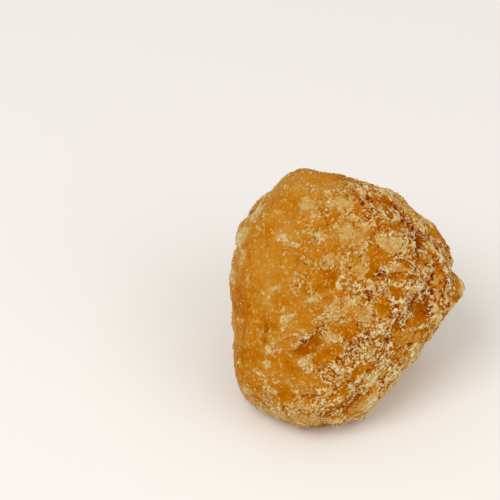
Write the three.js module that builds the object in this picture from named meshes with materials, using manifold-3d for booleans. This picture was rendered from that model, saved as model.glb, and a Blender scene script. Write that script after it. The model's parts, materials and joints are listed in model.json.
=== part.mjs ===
// A block of jaggery: one hand-sized lump of unrefined cane sugar, lying on a flat spot of its back.
// Units are millimetres, +Z is up and the origin is on the resting surface, under the middle of the block.
//
// The lump is described in the frame of its broad face: u runs to the right across the face, v up it and
// w straight out of it. A signed distance field in that frame joins flat breaks, lobes, a raised slab and
// crags. A sphere's vertices are then drawn in along rays until they meet the field's surface, which leaves
// one closed skin, and the resting spot is cut off it.

import * as THREE from "three";
import { ImprovedNoise } from "three/addons/math/ImprovedNoise.js";
import { mergeVertices } from "three/addons/utils/BufferGeometryUtils.js";
import Module from "manifold-3d";

// Driving dimensions
const FACE_LEAN = 42; // degrees between the broad face's outward direction and the horizontal
const REST_REACH = 31; // from the middle of the lump down to the resting surface
const FRONT_REACH = 14; // from the middle out to the broad face
const BACK_REACH = 29; // from the middle to the back
const EDGE_SOFTNESS = 2.1; // how far the breaks melt into each other
const LOBE_SOFTNESS = 2.4; // how far a lobe melts into the lump
const SLAB_SOFTNESS = 0.7; // how far the raised slab's ledge melts into the lump
const SKIN_DETAIL = 23; // divisions along each edge of the starting icosahedron
const RAY_START = 60; // where a ray begins, outside the lump
const RAY_STEP = 0.4;
const RAY_HALVINGS = 12;
const RAY_CENTRE = new THREE.Vector3(-1, -1, -5.5); // nearer the broad face, which so gets finer facets
const CUTTER_SIZE = 200;

// The lump's breaks. turn is the way a break faces round the broad face, in degrees from +u towards +v.
// tip is how far it is turned towards the broad face (90 is the face itself, -90 the back), and reach is
// its distance from the middle of the lump.
const OUTER_BREAKS = {
  left: { turn: 181, tip: 8, reach: 33.6 },
  upperLeft: { turn: 145, tip: 4, reach: 36.2 },
  top: { turn: 84, tip: 6, reach: 35.4 },
  upperRight: { turn: 50, tip: -6, reach: 30.2 },
  right: { turn: 10, tip: -4, reach: 31 },
  lowerRight: { turn: -39, tip: 2, reach: 25.4 },
  bottom: { turn: -90, tip: 6, reach: 37.6 },
  lowerLeft: { turn: 231, tip: 8, reach: 40.8 },
};
const BACK_BREAKS = {
  back: { turn: 70, tip: -82, reach: BACK_REACH },
  backTop: { turn: 88, tip: -42, reach: 38 },
  backLeft: { turn: 188, tip: -40, reach: 36 },
  backRight: { turn: 8, tip: -36, reach: 33 },
  rest: { turn: -90, tip: -FACE_LEAN, reach: REST_REACH + 0.8 },
};
// The broad face is a low dome of breaks that the raised slab keeps whole.
const FACE_BREAKS = {
  middle: { turn: 190, tip: 86, reach: FRONT_REACH },
  leftCheek: { turn: 183, tip: 48, reach: 29.5 },
  brow: { turn: 96, tip: 52, reach: 29 },
  chin: { turn: -84, tip: 50, reach: 31 },
  rightCheek: { turn: -14, tip: 72, reach: 17.2 },
};
// Where the slab ends, on the right of the face, and the lower ground outside it.
const SLAB_EDGES = {
  slabUpperRight: { turn: 50, tip: 22, reach: 27.5 },
  slabRight: { turn: 8, tip: 24, reach: 24.5 },
  slabLowerRight: { turn: -40, tip: 26, reach: 21.5 },
};
const LOW_GROUND = {
  upperRightLow: { turn: 48, tip: 50, reach: 23.6 },
  rightLow: { turn: 4, tip: 54, reach: 21 },
  lowerRightLow: { turn: -42, tip: 52, reach: 20.6 },
};

// Rounded lobes that stand out of the breaks: centre and half sizes along u, v and w.
const LOBES = {
  rightTip: { at: [29, 2.4, -4], half: [4.4, 4.6, 5] },
  rightShoulder: { at: [20.6, 12.6, -6], half: [8, 8.2, 8] },
  lowerRightKnob: { at: [15.6, -16.6, -6], half: [2.2, 2, 4] },
  upperLeftShoulder: { at: [-27.6, 17.4, -3], half: [6.2, 6, 9] },
  chin: { at: [-9.6, -27.5, -5], half: [15.8, 10, 12] },
  topCorner: { at: [8.6, 27.6, -6], half: [5, 3.2, 8] },
  backHump: { at: [6, 14, -22], half: [17, 15, 9] },
  backShoulder: { at: [-18, 8, -20], half: [13, 14, 9] },
};

// Low relief on the broad face: where it lies (u, v), how far it spreads, and how far it stands out
// (or, below 0, sinks in).
const FACE_RELIEF = {
  brownHollow: { at: [9.5, 9.5], spread: [4.2, 3.6], lift: -0.9 },
  longHollow: { at: [-10.5, -14], spread: [5.4, 2.6], lift: -1.1 },
  ledgeCave: { at: [21, -3], spread: [4.6, 4.2], lift: -1.8 },
  shoulderCave: { at: [21.6, 15.4], spread: [2, 2.4], lift: -1.6 },
  creamMound: { at: [13, 15], spread: [4.2, 3.2], lift: 0.8 },
  upperMound: { at: [-1.5, 27], spread: [4.6, 3.4], lift: 0.7 },
  middleMound: { at: [2.5, -5], spread: [5, 6], lift: 0.8 },
  lowerMound: { at: [-3.5, -20], spread: [6, 3.4], lift: 0.7 },
  smoothBelly: { at: [-18, 2], spread: [9, 11], lift: 0.8 },
};
// Creases that run over the face from one point to another: half width and depth.
const CREASES = {
  leftUpper: { from: [-29.5, 1], to: [-25.5, -10], half: 2.6, depth: 0.8 },
  leftLower: { from: [-25.5, -10], to: [-23, -18], half: 2.4, depth: 0.7 },
  chinUpper: { from: [-9, -36], to: [1, -29.5], half: 2, depth: 1 },
  chinLower: { from: [1, -29.5], to: [10, -20], half: 2, depth: 1 },
};

// Crags: rolling unevenness everywhere, and cobbles where the lump broke instead of setting smooth.
const ROLLS = [
  { length: 19, height: 1.3 },
  { length: 9, height: 0.7 },
  { length: 5, height: 0.35 },
];
const COBBLE_SIZE = 9;
const COBBLE_HEIGHT = 0.8;
const SMOOTH_PATCH = { at: [-17, 5, 8], half: [17, 26, 14], keeps: 0.28 }; // share of the crags left on it
const NOISE_OFFSET = 31.7; // moves the noise off its lattice's origin

const noise = new ImprovedNoise();
const degrees = THREE.MathUtils.degToRad;

/** The outward direction of a break. */
function facing({ turn, tip }) {
  const [t, p] = [degrees(turn), degrees(tip)];
  return new THREE.Vector3(Math.cos(p) * Math.cos(t), Math.cos(p) * Math.sin(t), Math.sin(p));
}

/** Each break of a table as its plane. */
function planes(breaks) {
  return Object.values(breaks).map((b) => new THREE.Plane(facing(b), -b.reach));
}

/** Distance to the solid that several planes enclose, with its edges melted by softness. */
function enclosed(point, walls, softness) {
  const most = Math.max(...walls.map((wall) => wall.distanceToPoint(point)));
  const sum = walls.reduce((s, wall) => s + Math.exp((wall.distanceToPoint(point) - most) / softness), 0);
  return most + softness * Math.log(sum);
}

/** The smaller of two distances, with the join rounded over the softness. */
function joined(a, b, softness) {
  const h = Math.max(softness - Math.abs(a - b), 0) / softness;
  return Math.min(a, b) - (h * h * softness) / 4;
}

/** Roughly the distance to an ellipsoid. */
function lobeDistance(point, { at, half }) {
  const scaled = new THREE.Vector3(
    (point.x - at[0]) / half[0],
    (point.y - at[1]) / half[1],
    (point.z - at[2]) / half[2],
  );
  return (scaled.length() - 1) * Math.min(...half);
}

/** 1 at the middle of a spread, falling smoothly to 0 around it. */
function bump(...ratios) {
  return Math.exp(-ratios.reduce((sum, r) => sum + r * r, 0));
}

/** How far the face's low relief and creases lift the skin at a point. */
function faceRelief(point) {
  const onFace = THREE.MathUtils.smoothstep(point.z, -8, 2);
  let lift = 0;
  for (const { at, spread, lift: height } of Object.values(FACE_RELIEF)) {
    lift += height * bump((point.x - at[0]) / spread[0], (point.y - at[1]) / spread[1]);
  }
  const flat = new THREE.Vector3(point.x, point.y, 0);
  for (const { from, to, half, depth } of Object.values(CREASES)) {
    const line = new THREE.Line3(new THREE.Vector3(...from), new THREE.Vector3(...to));
    const nearest = line.closestPointToPoint(flat, true, new THREE.Vector3());
    lift -= depth * bump(nearest.distanceTo(flat) / half);
  }
  return lift * onFace;
}

/** A number from 0 to 1 that belongs to a cell of the cobbles' grid. */
function cellNumber(i, j, k, salt) {
  const wave = Math.sin(i * 127.1 + j * 311.7 + k * 74.7 + salt * 53.3) * 43758.5453;
  return wave - Math.floor(wave);
}

/** Height of the cobbles: 1 in the middle of a cobble, 0 in the cracks round it. */
function cobble(point) {
  const base = point.clone().divideScalar(COBBLE_SIZE);
  const cell = base.clone().floor();
  let nearest = Infinity;
  let second = Infinity;
  for (let i = -1; i <= 1; i++) {
    for (let j = -1; j <= 1; j++) {
      for (let k = -1; k <= 1; k++) {
        const [x, y, z] = [cell.x + i, cell.y + j, cell.z + k];
        const seed = new THREE.Vector3(
          x + cellNumber(x, y, z, 1),
          y + cellNumber(x, y, z, 2),
          z + cellNumber(x, y, z, 3),
        );
        const distance = seed.distanceTo(base);
        if (distance < nearest) {
          second = nearest;
          nearest = distance;
        } else if (distance < second) {
          second = distance;
        }
      }
    }
  }
  return THREE.MathUtils.smoothstep(second - nearest, 0, 0.55);
}

/** How far the crags lift the skin at a point. */
function crags(point) {
  const patch = bump(
    (point.x - SMOOTH_PATCH.at[0]) / SMOOTH_PATCH.half[0],
    (point.y - SMOOTH_PATCH.at[1]) / SMOOTH_PATCH.half[1],
    (point.z - SMOOTH_PATCH.at[2]) / SMOOTH_PATCH.half[2],
  );
  const rough = 1 - (1 - SMOOTH_PATCH.keeps) * Math.min(1, 1.6 * patch);
  let lift = COBBLE_HEIGHT * (cobble(point) - 0.6) * rough * rough;
  for (const { length, height } of ROLLS) {
    const at = point.clone().divideScalar(length).addScalar(NOISE_OFFSET);
    lift += height * rough * noise.noise(at.x, at.y, at.z);
  }
  return lift;
}

const outerWalls = [...planes(OUTER_BREAKS), ...planes(BACK_BREAKS)];
const slabWalls = [...outerWalls, ...planes(FACE_BREAKS), ...planes(SLAB_EDGES)];
const lumpWalls = [...outerWalls, ...planes(FACE_BREAKS), ...planes(LOW_GROUND)];
const restWall = new THREE.Plane(facing(BACK_BREAKS.rest), -REST_REACH);

/** Signed distance to the block's skin, in the frame of the broad face. */
function blockDistance(point) {
  let distance = enclosed(point, lumpWalls, EDGE_SOFTNESS);
  distance = joined(distance, enclosed(point, slabWalls, EDGE_SOFTNESS), SLAB_SOFTNESS);
  for (const lobe of Object.values(LOBES)) {
    distance = joined(distance, lobeDistance(point, lobe), LOBE_SOFTNESS);
  }
  distance -= faceRelief(point) + crags(point);
  return Math.max(distance, restWall.distanceToPoint(point) - EDGE_SOFTNESS);
}

/** The icosahedron's vertices drawn in along their rays to the block's skin. */
function skinGeometry() {
  const geometry = new THREE.IcosahedronGeometry(1, SKIN_DETAIL);
  geometry.deleteAttribute("normal");
  geometry.deleteAttribute("uv");
  const skin = mergeVertices(geometry, 1e-4);
  const places = skin.getAttribute("position");
  const way = new THREE.Vector3();
  const point = new THREE.Vector3();
  for (let i = 0; i < places.count; i++) {
    way.fromBufferAttribute(places, i).normalize();
    const distanceAt = (reach) => blockDistance(point.copy(RAY_CENTRE).addScaledVector(way, reach));
    let outside = RAY_START;
    while (distanceAt(outside - RAY_STEP) > 0) outside -= RAY_STEP;
    let inside = outside - RAY_STEP;
    for (let n = 0; n < RAY_HALVINGS; n++) {
      const half = (inside + outside) / 2;
      if (distanceAt(half) > 0) outside = half;
      else inside = half;
    }
    point.copy(RAY_CENTRE).addScaledVector(way, outside);
    places.setXYZ(i, point.x, point.y, point.z);
  }
  return skin;
}

/** Turns the face's frame into the part's frame and lowers the block onto the resting surface. */
function settle(geometry) {
  geometry.applyMatrix4(new THREE.Matrix4().makeRotationX(degrees(90 - FACE_LEAN)));
  geometry.translate(0, 0, REST_REACH);
  return geometry;
}

const wasm = await Module();
wasm.setup();

/** A closed geometry as a solid. */
function solidOf(geometry) {
  const bare = geometry.clone();
  bare.deleteAttribute("normal");
  bare.deleteAttribute("uv");
  const merged = mergeVertices(bare, 1e-4);
  return new wasm.Manifold(
    new wasm.Mesh({
      numProp: 3,
      vertProperties: new Float32Array(merged.getAttribute("position").array),
      triVerts: new Uint32Array(merged.index.array),
    }),
  );
}

/** A solid as a geometry. */
function geometryOf(solid) {
  const mesh = solid.getMesh();
  const geometry = new THREE.BufferGeometry();
  geometry.setAttribute("position", new THREE.BufferAttribute(mesh.vertProperties, 3));
  geometry.setIndex(new THREE.BufferAttribute(mesh.triVerts, 1));
  geometry.computeVertexNormals();
  return geometry;
}

/** The block with its resting spot cut flat, centred over the origin. */
function blockGeometry() {
  const under = new THREE.BoxGeometry(CUTTER_SIZE, CUTTER_SIZE, CUTTER_SIZE);
  under.translate(0, 0, -CUTTER_SIZE / 2);
  const geometry = geometryOf(solidOf(settle(skinGeometry())).subtract(solidOf(under)));
  geometry.computeBoundingBox();
  const middle = geometry.boundingBox.getCenter(new THREE.Vector3());
  return geometry.translate(-middle.x, -middle.y, 0);
}

const jaggery = new THREE.MeshStandardMaterial({ color: 0xbd7a2c, roughness: 0.62, metalness: 0 });
const block = new THREE.Mesh(blockGeometry(), jaggery);
block.name = "jaggery_block";

const part = new THREE.Group();
part.add(block);
export default part;
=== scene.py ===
"""A jaggery block dressed for the studio: waxy amber sugar under a dry, crumbly crust.

The block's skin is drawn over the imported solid. Named places on its broad face say where the crust lies,
where the amber shows bare, and where the block is hollow, cracked or pitted; noise does the rest, and
carries the same ground round the sides and the back. Loose sugar grains and crumbs are set into the skin.
Lengths are in metres unless a name or a docstring says otherwise.
"""

import json
import logging
import math
from dataclasses import dataclass, field
from enum import Enum
from typing import Union

import bpy
import numpy as np
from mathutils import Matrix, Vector

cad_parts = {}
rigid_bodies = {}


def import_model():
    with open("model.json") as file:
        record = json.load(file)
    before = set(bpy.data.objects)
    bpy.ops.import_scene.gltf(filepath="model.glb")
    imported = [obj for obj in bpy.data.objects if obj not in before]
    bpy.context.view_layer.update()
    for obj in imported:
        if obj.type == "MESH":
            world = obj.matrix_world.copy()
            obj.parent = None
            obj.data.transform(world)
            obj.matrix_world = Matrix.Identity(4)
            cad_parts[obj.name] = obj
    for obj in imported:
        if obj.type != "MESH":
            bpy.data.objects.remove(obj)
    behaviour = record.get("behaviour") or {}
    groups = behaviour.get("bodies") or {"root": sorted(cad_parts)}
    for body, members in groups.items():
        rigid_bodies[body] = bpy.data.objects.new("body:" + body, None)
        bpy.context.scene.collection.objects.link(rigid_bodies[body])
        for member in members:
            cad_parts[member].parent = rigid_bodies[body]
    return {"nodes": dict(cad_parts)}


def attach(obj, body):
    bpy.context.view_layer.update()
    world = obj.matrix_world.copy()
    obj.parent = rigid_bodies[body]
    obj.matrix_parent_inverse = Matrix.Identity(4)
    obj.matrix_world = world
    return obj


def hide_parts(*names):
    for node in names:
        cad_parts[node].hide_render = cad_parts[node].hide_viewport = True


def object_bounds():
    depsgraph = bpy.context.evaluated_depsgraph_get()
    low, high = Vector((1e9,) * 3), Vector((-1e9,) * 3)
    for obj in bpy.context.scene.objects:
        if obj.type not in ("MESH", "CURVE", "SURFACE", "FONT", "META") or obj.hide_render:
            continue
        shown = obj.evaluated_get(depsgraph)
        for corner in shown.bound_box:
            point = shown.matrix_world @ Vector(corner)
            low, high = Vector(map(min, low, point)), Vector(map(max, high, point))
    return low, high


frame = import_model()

log = logging.getLogger("jaggery")

CAD_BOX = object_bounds()
MM = 0.001
FACE_LEAN = math.radians(42)  # between the broad face's outward direction and the horizontal
BLOCK_NODE = "jaggery_block"
BODY = "root"

Socket = bpy.types.NodeSocket
Value = Union[Socket, float, int, str, tuple, bpy.types.ID]


@dataclass(frozen=True)
class FaceView:
    """The view square to the broad face: its places are measured in it and the camera takes it."""

    lens_mm: float = 180.0
    film_mm: float = 36.0
    frame_height: float = 146 * MM
    aside: float = 28.2 * MM  # from the view's middle to the block's
    below: float = 11.4 * MM
    outline_below: float = 14.3 * MM  # from the view's middle down to that of the block's outline

    @property
    def back(self) -> Vector:
        """The way from the block to the eye."""
        return Vector((0, -math.cos(FACE_LEAN), math.sin(FACE_LEAN)))

    @property
    def above(self) -> Vector:
        """The way up in the view."""
        return Vector((0, math.sin(FACE_LEAN), math.cos(FACE_LEAN)))

    @property
    def distance(self) -> float:
        """How far the eye stands from the block's middle."""
        return self.frame_height * self.lens_mm / self.film_mm

    def seen(self, at: np.ndarray) -> tuple[np.ndarray, np.ndarray]:
        """Where points show in the view.

        Args:
            at: the points, one to a row.

        Returns:
            Their distances across and up from the middle of the block's outline, in mm.
        """
        offset = at - np.array((CAD_BOX[0] + CAD_BOX[1]) / 2)
        nearer = self.distance / (self.distance - offset @ np.array(self.back))
        across = (offset[:, 0] + self.aside) * nearer - self.aside
        up = (offset @ np.array(self.above) - self.below) * nearer + self.outline_below
        return across / MM, up / MM


@dataclass(frozen=True)
class Make:
    """What a kind of ground does to the skin at full force."""

    crust: float  # crust laid, or taken away
    lift_mm: float  # height
    busy: float  # crumbliness
    dust_and_painted_light: float  # pale dust on the amber, and painted light where a place lifts a shaded rim
    flat: bool = False  # level inside a steep edge
    smooth: float = 0.0  # how far it smooths the crumbs out
    dark: float = 0.0  # painted shade in hollows and pits


class Ground(Enum):
    """The kinds of ground."""

    CRUST = Make(1.25, 0.22, 0.05, 0.2)
    PLATE = Make(1.4, 0.35, -0.6, 0.1, smooth=0.5)
    POWDER = Make(1.35, 0.12, -0.55, 0.9, smooth=0.15)
    CREAM = Make(1.8, 0.22, 0.12, 1.5)
    SHEET = Make(1.15, 0.15, -0.3, -0.2, smooth=0.42)
    VEIL = Make(-0.1, 0.0, -0.45, 0.6)
    CALM = Make(0.0, 0.0, -0.35, 0.25, smooth=0.45)
    FLAKE = Make(1.6, 0.75, -0.7, 0.1, flat=True, smooth=0.9)
    BARE = Make(-1.25, -0.16, -0.8, -0.2)
    # A hollow is sunk, and darkened a little with painted shade.
    HOLLOW = Make(-0.9, -0.95, -0.6, -0.3, flat=True, dark=0.2)
    PITS = Make(0.1, -0.1, 0.7, -0.1)  # noise opens many small pits here, with more painted shade between the crumbs
    PIT = Make(-0.2, -0.3, 0.2, 0.0, flat=True, dark=0.95)  # one pit that fills its place, darkened with painted shade


@dataclass(frozen=True)
class Place:
    """An oval place on the broad face, in mm from the middle of its outline."""

    name: str
    across: float
    up: float
    half_across: float
    half_up: float
    force: float = 1.0
    turn: float = 0.0  # degrees, its right end up

    def reach(self, across: np.ndarray, up: np.ndarray) -> np.ndarray:
        """How far points lie from the place's middle, where 1 is its edge.

        Args:
            across: the points' distances across the face, in mm.
            up: the points' distances up the face, in mm.

        Returns:
            The reach of each point.
        """
        turn = math.radians(self.turn)
        right, above = across - self.across, up - self.up
        along = right * math.cos(turn) + above * math.sin(turn)
        beside = above * math.cos(turn) - right * math.sin(turn)
        return np.hypot(along / self.half_across, beside / self.half_up)


@dataclass(frozen=True)
class Crack:
    """A crack over the broad face along a few points, in mm from the middle of its outline."""

    name: str
    course: tuple[tuple[float, float], ...]
    half_width: float
    force: float


def from_course(points: np.ndarray, course: np.ndarray) -> np.ndarray:
    """How far points lie from a line that runs through a few points.

    Args:
        points: the points, one to a row.
        course: what the line runs through, one to a row.

    Returns:
        Each point's distance from the line.
    """
    nearest = np.full(len(points), np.inf)
    for start, end in zip(course, course[1:]):
        run = end - start
        along = np.clip((points - start) @ run / (run @ run), 0, 1)
        nearest = np.minimum(nearest, np.linalg.norm(points - start - along[:, None] * run, axis=1))
    return nearest


FACE_VIEW = FaceView()

PLACES: dict[Ground, tuple[Place, ...]] = {
    Ground.CRUST: (
        Place("speck field", -8.4, 18.4, 2, 1.1, 0.8, -25),
        Place("upper cream left", -5.3, 31.5, 1.3, 1, 0.9, 10),
        Place("top cream", 3.3, 33, 1.8, 0.8, 0.8, -15),
        Place("tan shelf right", 3.8, 22.8, 2.4, 1, 1, -30),
        Place("cream mound top", 16.5, 18.7, 1.8, 1.5, 0.6, -40),
        Place("rim cream", 10.9, 24.8, 2.3, 0.9, 0.7, -30),
        Place("left run", -12.3, 6.7, 0.8, 2, 0.4, 10),
        Place("left run low", -14.5, 3.2, 0.9, 2.3, 0.5, -35),
        Place("right cream", 26.4, 13.4, 1.8, 0.9, 1.2, -30),
        Place("right streak", 24.9, 9.3, 0.5, 2.3, 0.8, 12),
        Place("nub rim", 33.4, 3.5, 0.6, 2.3, 0.7),
        Place("low streak", -17.6, -5.8, 2.3, 0.8, 1.4, 40),
        Place("low dot", -30.7, -6.3, 1.2, 0.9),
        Place("ring", -25.2, -10.2, 0.9, 1.2, 1.2),
        Place("hollow rim", -15.7, -14, 1, 0.9, 0.7),
        Place("lower run", -7.2, -21.9, 2.9, 1.2, 0.5, 20),
        Place("mid low crust", -1.4, -18.4, 3.5, 2, 0.9, 20),
        Place("right low crust", 6.2, -13.7, 3.5, 2.6, 0.45, 35),
        Place("bottom crust", -13.6, -31.8, 4.7, 2.3, 0.5, -12),
        Place("bottom crust right", -6, -30.1, 3.8, 1.2, 0.9, 12),
        Place("bottom left rim", -20.3, -33, 2, 1.2, 0.9, -35),
        Place("low left streak", -22.6, -26, 2.6, 0.6, 1.2, -38),
        Place("low left cream tail", -20.6, -23.4, 1.6, 0.6, 0.7, -50),
        Place("star specks", -23.6, 0.6, 1, 1.3, 0.5, -30),
        Place("centre grain", 10.9, -6.7, 2, 3.5, 0.45, 25),
        Place("brow tan", 9.6, 31.2, 2.4, 0.9, 0.9, -20),
        Place("brow streaks", 6.4, 32.8, 1.8, 0.7, 0.8, -15),
        Place("band tan", 21, 23.6, 2, 0.9, 0.8, -40),
        Place("middle high", 0.2, 10.2, 2.2, 1.5, 1, -20),
        Place("brow band", 14.6, 25.2, 2.2, 0.9, 0.8, -40),
        Place("ledge crumbs", 14.2, -3, 2.2, 1.1, 1, -20),
        Place("corner rim high", 11.6, -23.8, 3, 0.9, 1.2, 48),
        Place("shelf cream", 21.8, 8.9, 2, 1.1, 0.9, -50),
        Place("right cream low", 27.4, 12.4, 1.3, 0.9, 0.7, -30),
        Place("middle high left", 0.4, 12.2, 1.6, 0.9, 0.6),
        Place("foot crust", -25.4, -30.9, 2.8, 0.8, 1.3, -38),
        Place("foot crust left", -29.4, -26.9, 1.6, 0.6, 0.7, -52),
        Place("centre crumbs", 9.5, 4.8, 1.4, 1.2, 0.5),
        Place("lump tan", 19.6, -13.6, 2.4, 1, 0.4, 45),
        Place("bottom left crust", -18.4, -31.8, 1.5, 0.9, 0.7),
        Place("mid right crust", 16.7, -1.7, 0.9, 1.6, 0.6, 10),
        Place("oval crumbs", 12.3, 5.4, 0.9, 1.1),
        Place("low crack crust", -7.6, -27.2, 1.3, 0.8, 0.6),
        Place("bottom crust foot", -8.6, -32.1, 1.8, 1.1, 0.5),
        Place("lump left crust", 14.3, -10, 1.5, 1.5, 0.5),
        Place("crevice side sand", 24.6, 19, 1.5, 1.5, 0.4),
    ),
    Ground.PLATE: (
        Place("under flake", -9.8, 23.4, 1.8, 2, 0.3, -50),
        Place("upper cream", -1.9, 28, 3.2, 1.6, 1.2, -8),
        Place("tan shelf", -0.5, 21.3, 3.8, 2.6, 0.3, -10),
        Place("cream mound", 12.7, 15.9, 3.6, 2.1, 0.95, -8),
        Place("centre tan low", -4.6, -9.1, 2.3, 3.2, 0.4, -20),
        Place("mid lump", -8.7, 0.3, 2.2, 1.3, 0.5, 35),
        Place("nub low", 26.6, 1.5, 1.1, 1.3, 0.7),
    ),
    Ground.POWDER: (
        Place("shoulder powder", -24.7, 30.6, 3.6, 1.1, 1.2, 56),
        Place("shoulder powder low", -26.8, 25.8, 2.8, 1.5, 1.7, 72),
        Place("side powder", -30.8, 18.2, 2.8, 1.3, 1.7, 52),
        Place("side powder low", -30.6, 12, 0.7, 2, 0.9, -18),
        Place("side powder foot", -33.2, 6.6, 0.8, 2.6, 1.2),
        Place("grey band", 20.4, 3.2, 3.2, 1.2, 1, 50),
        Place("band powder", 25.2, 14.9, 2, 1.1, 0.8, -40),
        Place("layer band", 9, -22.2, 4.5, 1.3, 1, 47),
        Place("layer band up", 15, -16.4, 2.6, 1.1, 0.2, 50),
        Place("corner rim", 8.2, -29, 5, 2, 0.6, 47),
        Place("brow rim", 12.2, 31.4, 3.4, 1.1, 0.7, -32),
        # painted light, partly: lightens the bottom edge where shade from the floor falls
        Place("bottom edge powder", -11.9, -35.7, 4.4, 1, 0.3),
        Place("shoulder powder edge", -28.6, 25.6, 2.6, 1, 1, 62),
        # painted light, partly: lightens a lower rim that shade darkens
        Place("bottom right powder", 5.2, -32.7, 3, 1, 0.3, 36),
        # painted light, partly: lightens the bottom rim that shade darkens
        Place("bottom powder", -4.6, -35.8, 2.4, 0.7, 0.4, 5),
        # painted light, partly: lightens the nub's lower rim that shade darkens
        Place("nub foot powder", 29.6, -2.4, 2.2, 0.9, 1, 48),
        Place("nub edge powder", 33.8, 3.2, 0.6, 2.2, 0.9),
        Place("band edge powder", 24.4, 22.2, 2, 0.6, 0.8, -42),
        Place("side pale spot", -28.6, -13.1, 0.8, 0.7, 0.8),
        Place("layer sand", 17.3, -17.8, 1.6, 1.4, 0.35),
        # painted light, partly: lightens the downward rim that shade darkens
        Place("foot rim pale", -19, -34.2, 2, 1, 0.8, -35),
    ),
    Ground.CREAM: (
        Place("island patch", -18.8, 17.9, 2, 1.1, 1.1, -12),
        Place("island patch tail", -15.2, 15.9, 1.4, 0.6, 0.7, -5),
        Place("ridge line", -1.9, 5.2, 0.45, 2.7, 1.4, -18),
        Place("star patch", -21.1, 3.1, 1.5, 0.8, 1.3, 35),
        Place("right shelf", 25.6, -4.5, 1.6, 1.1, 0.7, 25),
        Place("crease patch", -23.2, -14.9, 0.8, 1.1, 0.65),
        Place("crease patch up", -21.4, -12.6, 1, 0.7, 0.3, -15),
        Place("low left cream", -23.5, -19.2, 1.1, 0.9, 1, -20),
        Place("wedge", -25.6, -21.5, 2, 0.45, 1, -32),
        Place("lower cream", -12.4, -18.4, 1.9, 1, 0.8, 15),
        Place("bottom left cream", -19.8, -31.6, 1.2, 0.9, 0.9, -20),
        Place("lower cream high", -9.9, -16.6, 1.4, 0.45, 0.5, 45),
        Place("star speck", -24.4, 1.6, 0.4, 0.4, 1.2),
        Place("star speck low", -22.9, 0.6, 0.6, 0.5, 1.2),
        Place("left run cream", -16.1, 5.6, 1, 0.8, 0.2, -20),
        Place("side streak", -28.9, 6.2, 0.5, 1.6, 0.9),
        Place("side cream", -30, 13.3, 1.2, 0.7, 0.4, 35),
        Place("crease streak", -22.5, -9.4, 0.4, 1.2, 0.8),
        Place("side fleck", -31.1, -18.2, 0.5, 0.5, 1.2),
        Place("round bare edge", -15.1, -27.2, 1.3, 0.5, 0.7, -30),
        Place("left cream high", -10.9, 19.6, 1.6, 0.7, 0.7, -15),
        Place("left cream dots", -14.1, 18, 1.2, 0.5, 0.4, -10),
        Place("upper wisp", -19.8, 25.3, 1.5, 0.5, 0.6, 15),
        Place("upper dot", -25.5, 20.9, 0.9, 0.5, 0.8, -20),
        Place("upper dot high", -22.3, 30.3, 0.6, 0.6, 0.8),
        Place("flake dot", -16, 27.1, 0.5, 0.4, 0.8, -30),
        Place("star low", -23.2, -1.3, 1.5, 0.5, 0.6, -35),
        Place("left tan spot", -18.6, -3.1, 0.9, 0.5, 0.6),
        Place("crease pale spot", -26.4, -6.3, 0.9, 0.7, 0.6),
        Place("top dot", -17.6, 33, 0.6, 0.4, 0.6),
        Place("flake rim", -12, 29.3, 1.6, 0.4, 0.8, -10),
        Place("seam cream", 8.8, 2.4, 1.4, 1.6, 0.4),
    ),
    Ground.SHEET: (
        Place("tan shelf low", 2.2, 17.4, 4.4, 2.4, 0.7, -12),
        Place("middle run", -4, 11.8, 3.4, 1.2, 1, -8),
        Place("middle cream", 2.3, 8.2, 3.8, 2.8, 0.8, -20),
        Place("centre cream", 7.9, 4, 1.8, 1.5, 0.7, -10),
        Place("centre tan", -0.5, -2, 5.4, 3, 0.6, -30),
        Place("centre low crust", 4.6, -3.8, 2.6, 1.8),
        Place("centre foot crust", 6.3, -7.4, 2.6, 2, 0.8, 20),
        Place("above oval", 15.6, 9.1, 3.6, 1.2, 1.5, -5),
        Place("centre seam fill", 2, -5.6, 1.6, 1.2, 0.6),
        Place("shelf high sheet", 5.6, 20.6, 1.8, 1.2, 0.6, -20),
        Place("nub sheet", 26.4, 7.1, 1, 1, 0.6),
        Place("lump sheet", 16.1, -10.6, 1.6, 1.3, 0.4),
        Place("mound foot sheet", 15.2, 13.6, 1.6, 1.4, 0.35),
    ),
    Ground.VEIL: (
        Place("side edge", -33.2, -8, 0.8, 6, 0.7, 2),
        Place("yellow lump", 19.6, -12.2, 3.4, 2.2, 0.7, 45),
        Place("low right rim", 21.8, -13.8, 4.8, 1.5, 1, 48),
        Place("low right rim foot", 15.6, -21.6, 5, 1.7, 1.1, 50),
        Place("corner rim foot", 7, -30.4, 4.2, 1.4, 1, 42),
        Place("bottom rim", 1.4, -34, 4.5, 1.4, 0.5, 20),
        # painted light, partly: lightens the bottom edge where shade from the floor falls
        Place("bottom left veil", -11.9, -35.3, 4, 1.2, 0.4),
        Place("corner veil", 4.6, -30, 2.6, 1.6, 0.7, 40),
        Place("shoulder rim", 17.6, 26.6, 4, 1.2, 1, -44),
        Place("far right rim", 31, 10.4, 1, 3, 0.6, 12),
        Place("nub edge", 33.6, 2.6, 0.9, 2.6, 1.1),
        Place("lump veil", 16.5, -10.5, 2.4, 2, 1.1),
        Place("foot veil", -29.6, -28, 1.4, 3.6, 0.9, 32),
        Place("smooth side", -24.1, 10.8, 5.2, 7, 0.1),
        Place("lower side veil", -23.2, 2.2, 3.2, 3.4, 0.8),
        Place("low side veil", -24, -3.4, 4, 4, 0.3),
        Place("upper side veil", -18, 21.6, 3, 3, 0.25),
        Place("nub veil", 26.2, 6.4, 1.8, 1.4),
        Place("right lump veil", 15.9, -13.4, 1.6, 1.2, 0.5),
        Place("low amber veil", -2.6, -24, 2, 0.9, 0.5),
        Place("nub veil low", 26.2, 4.4, 1.6, 1.8, 0.5),
    ),
    Ground.CALM: (
        Place("nub calm", 26.6, 4.4, 2.2, 3, 0.9),
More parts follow.
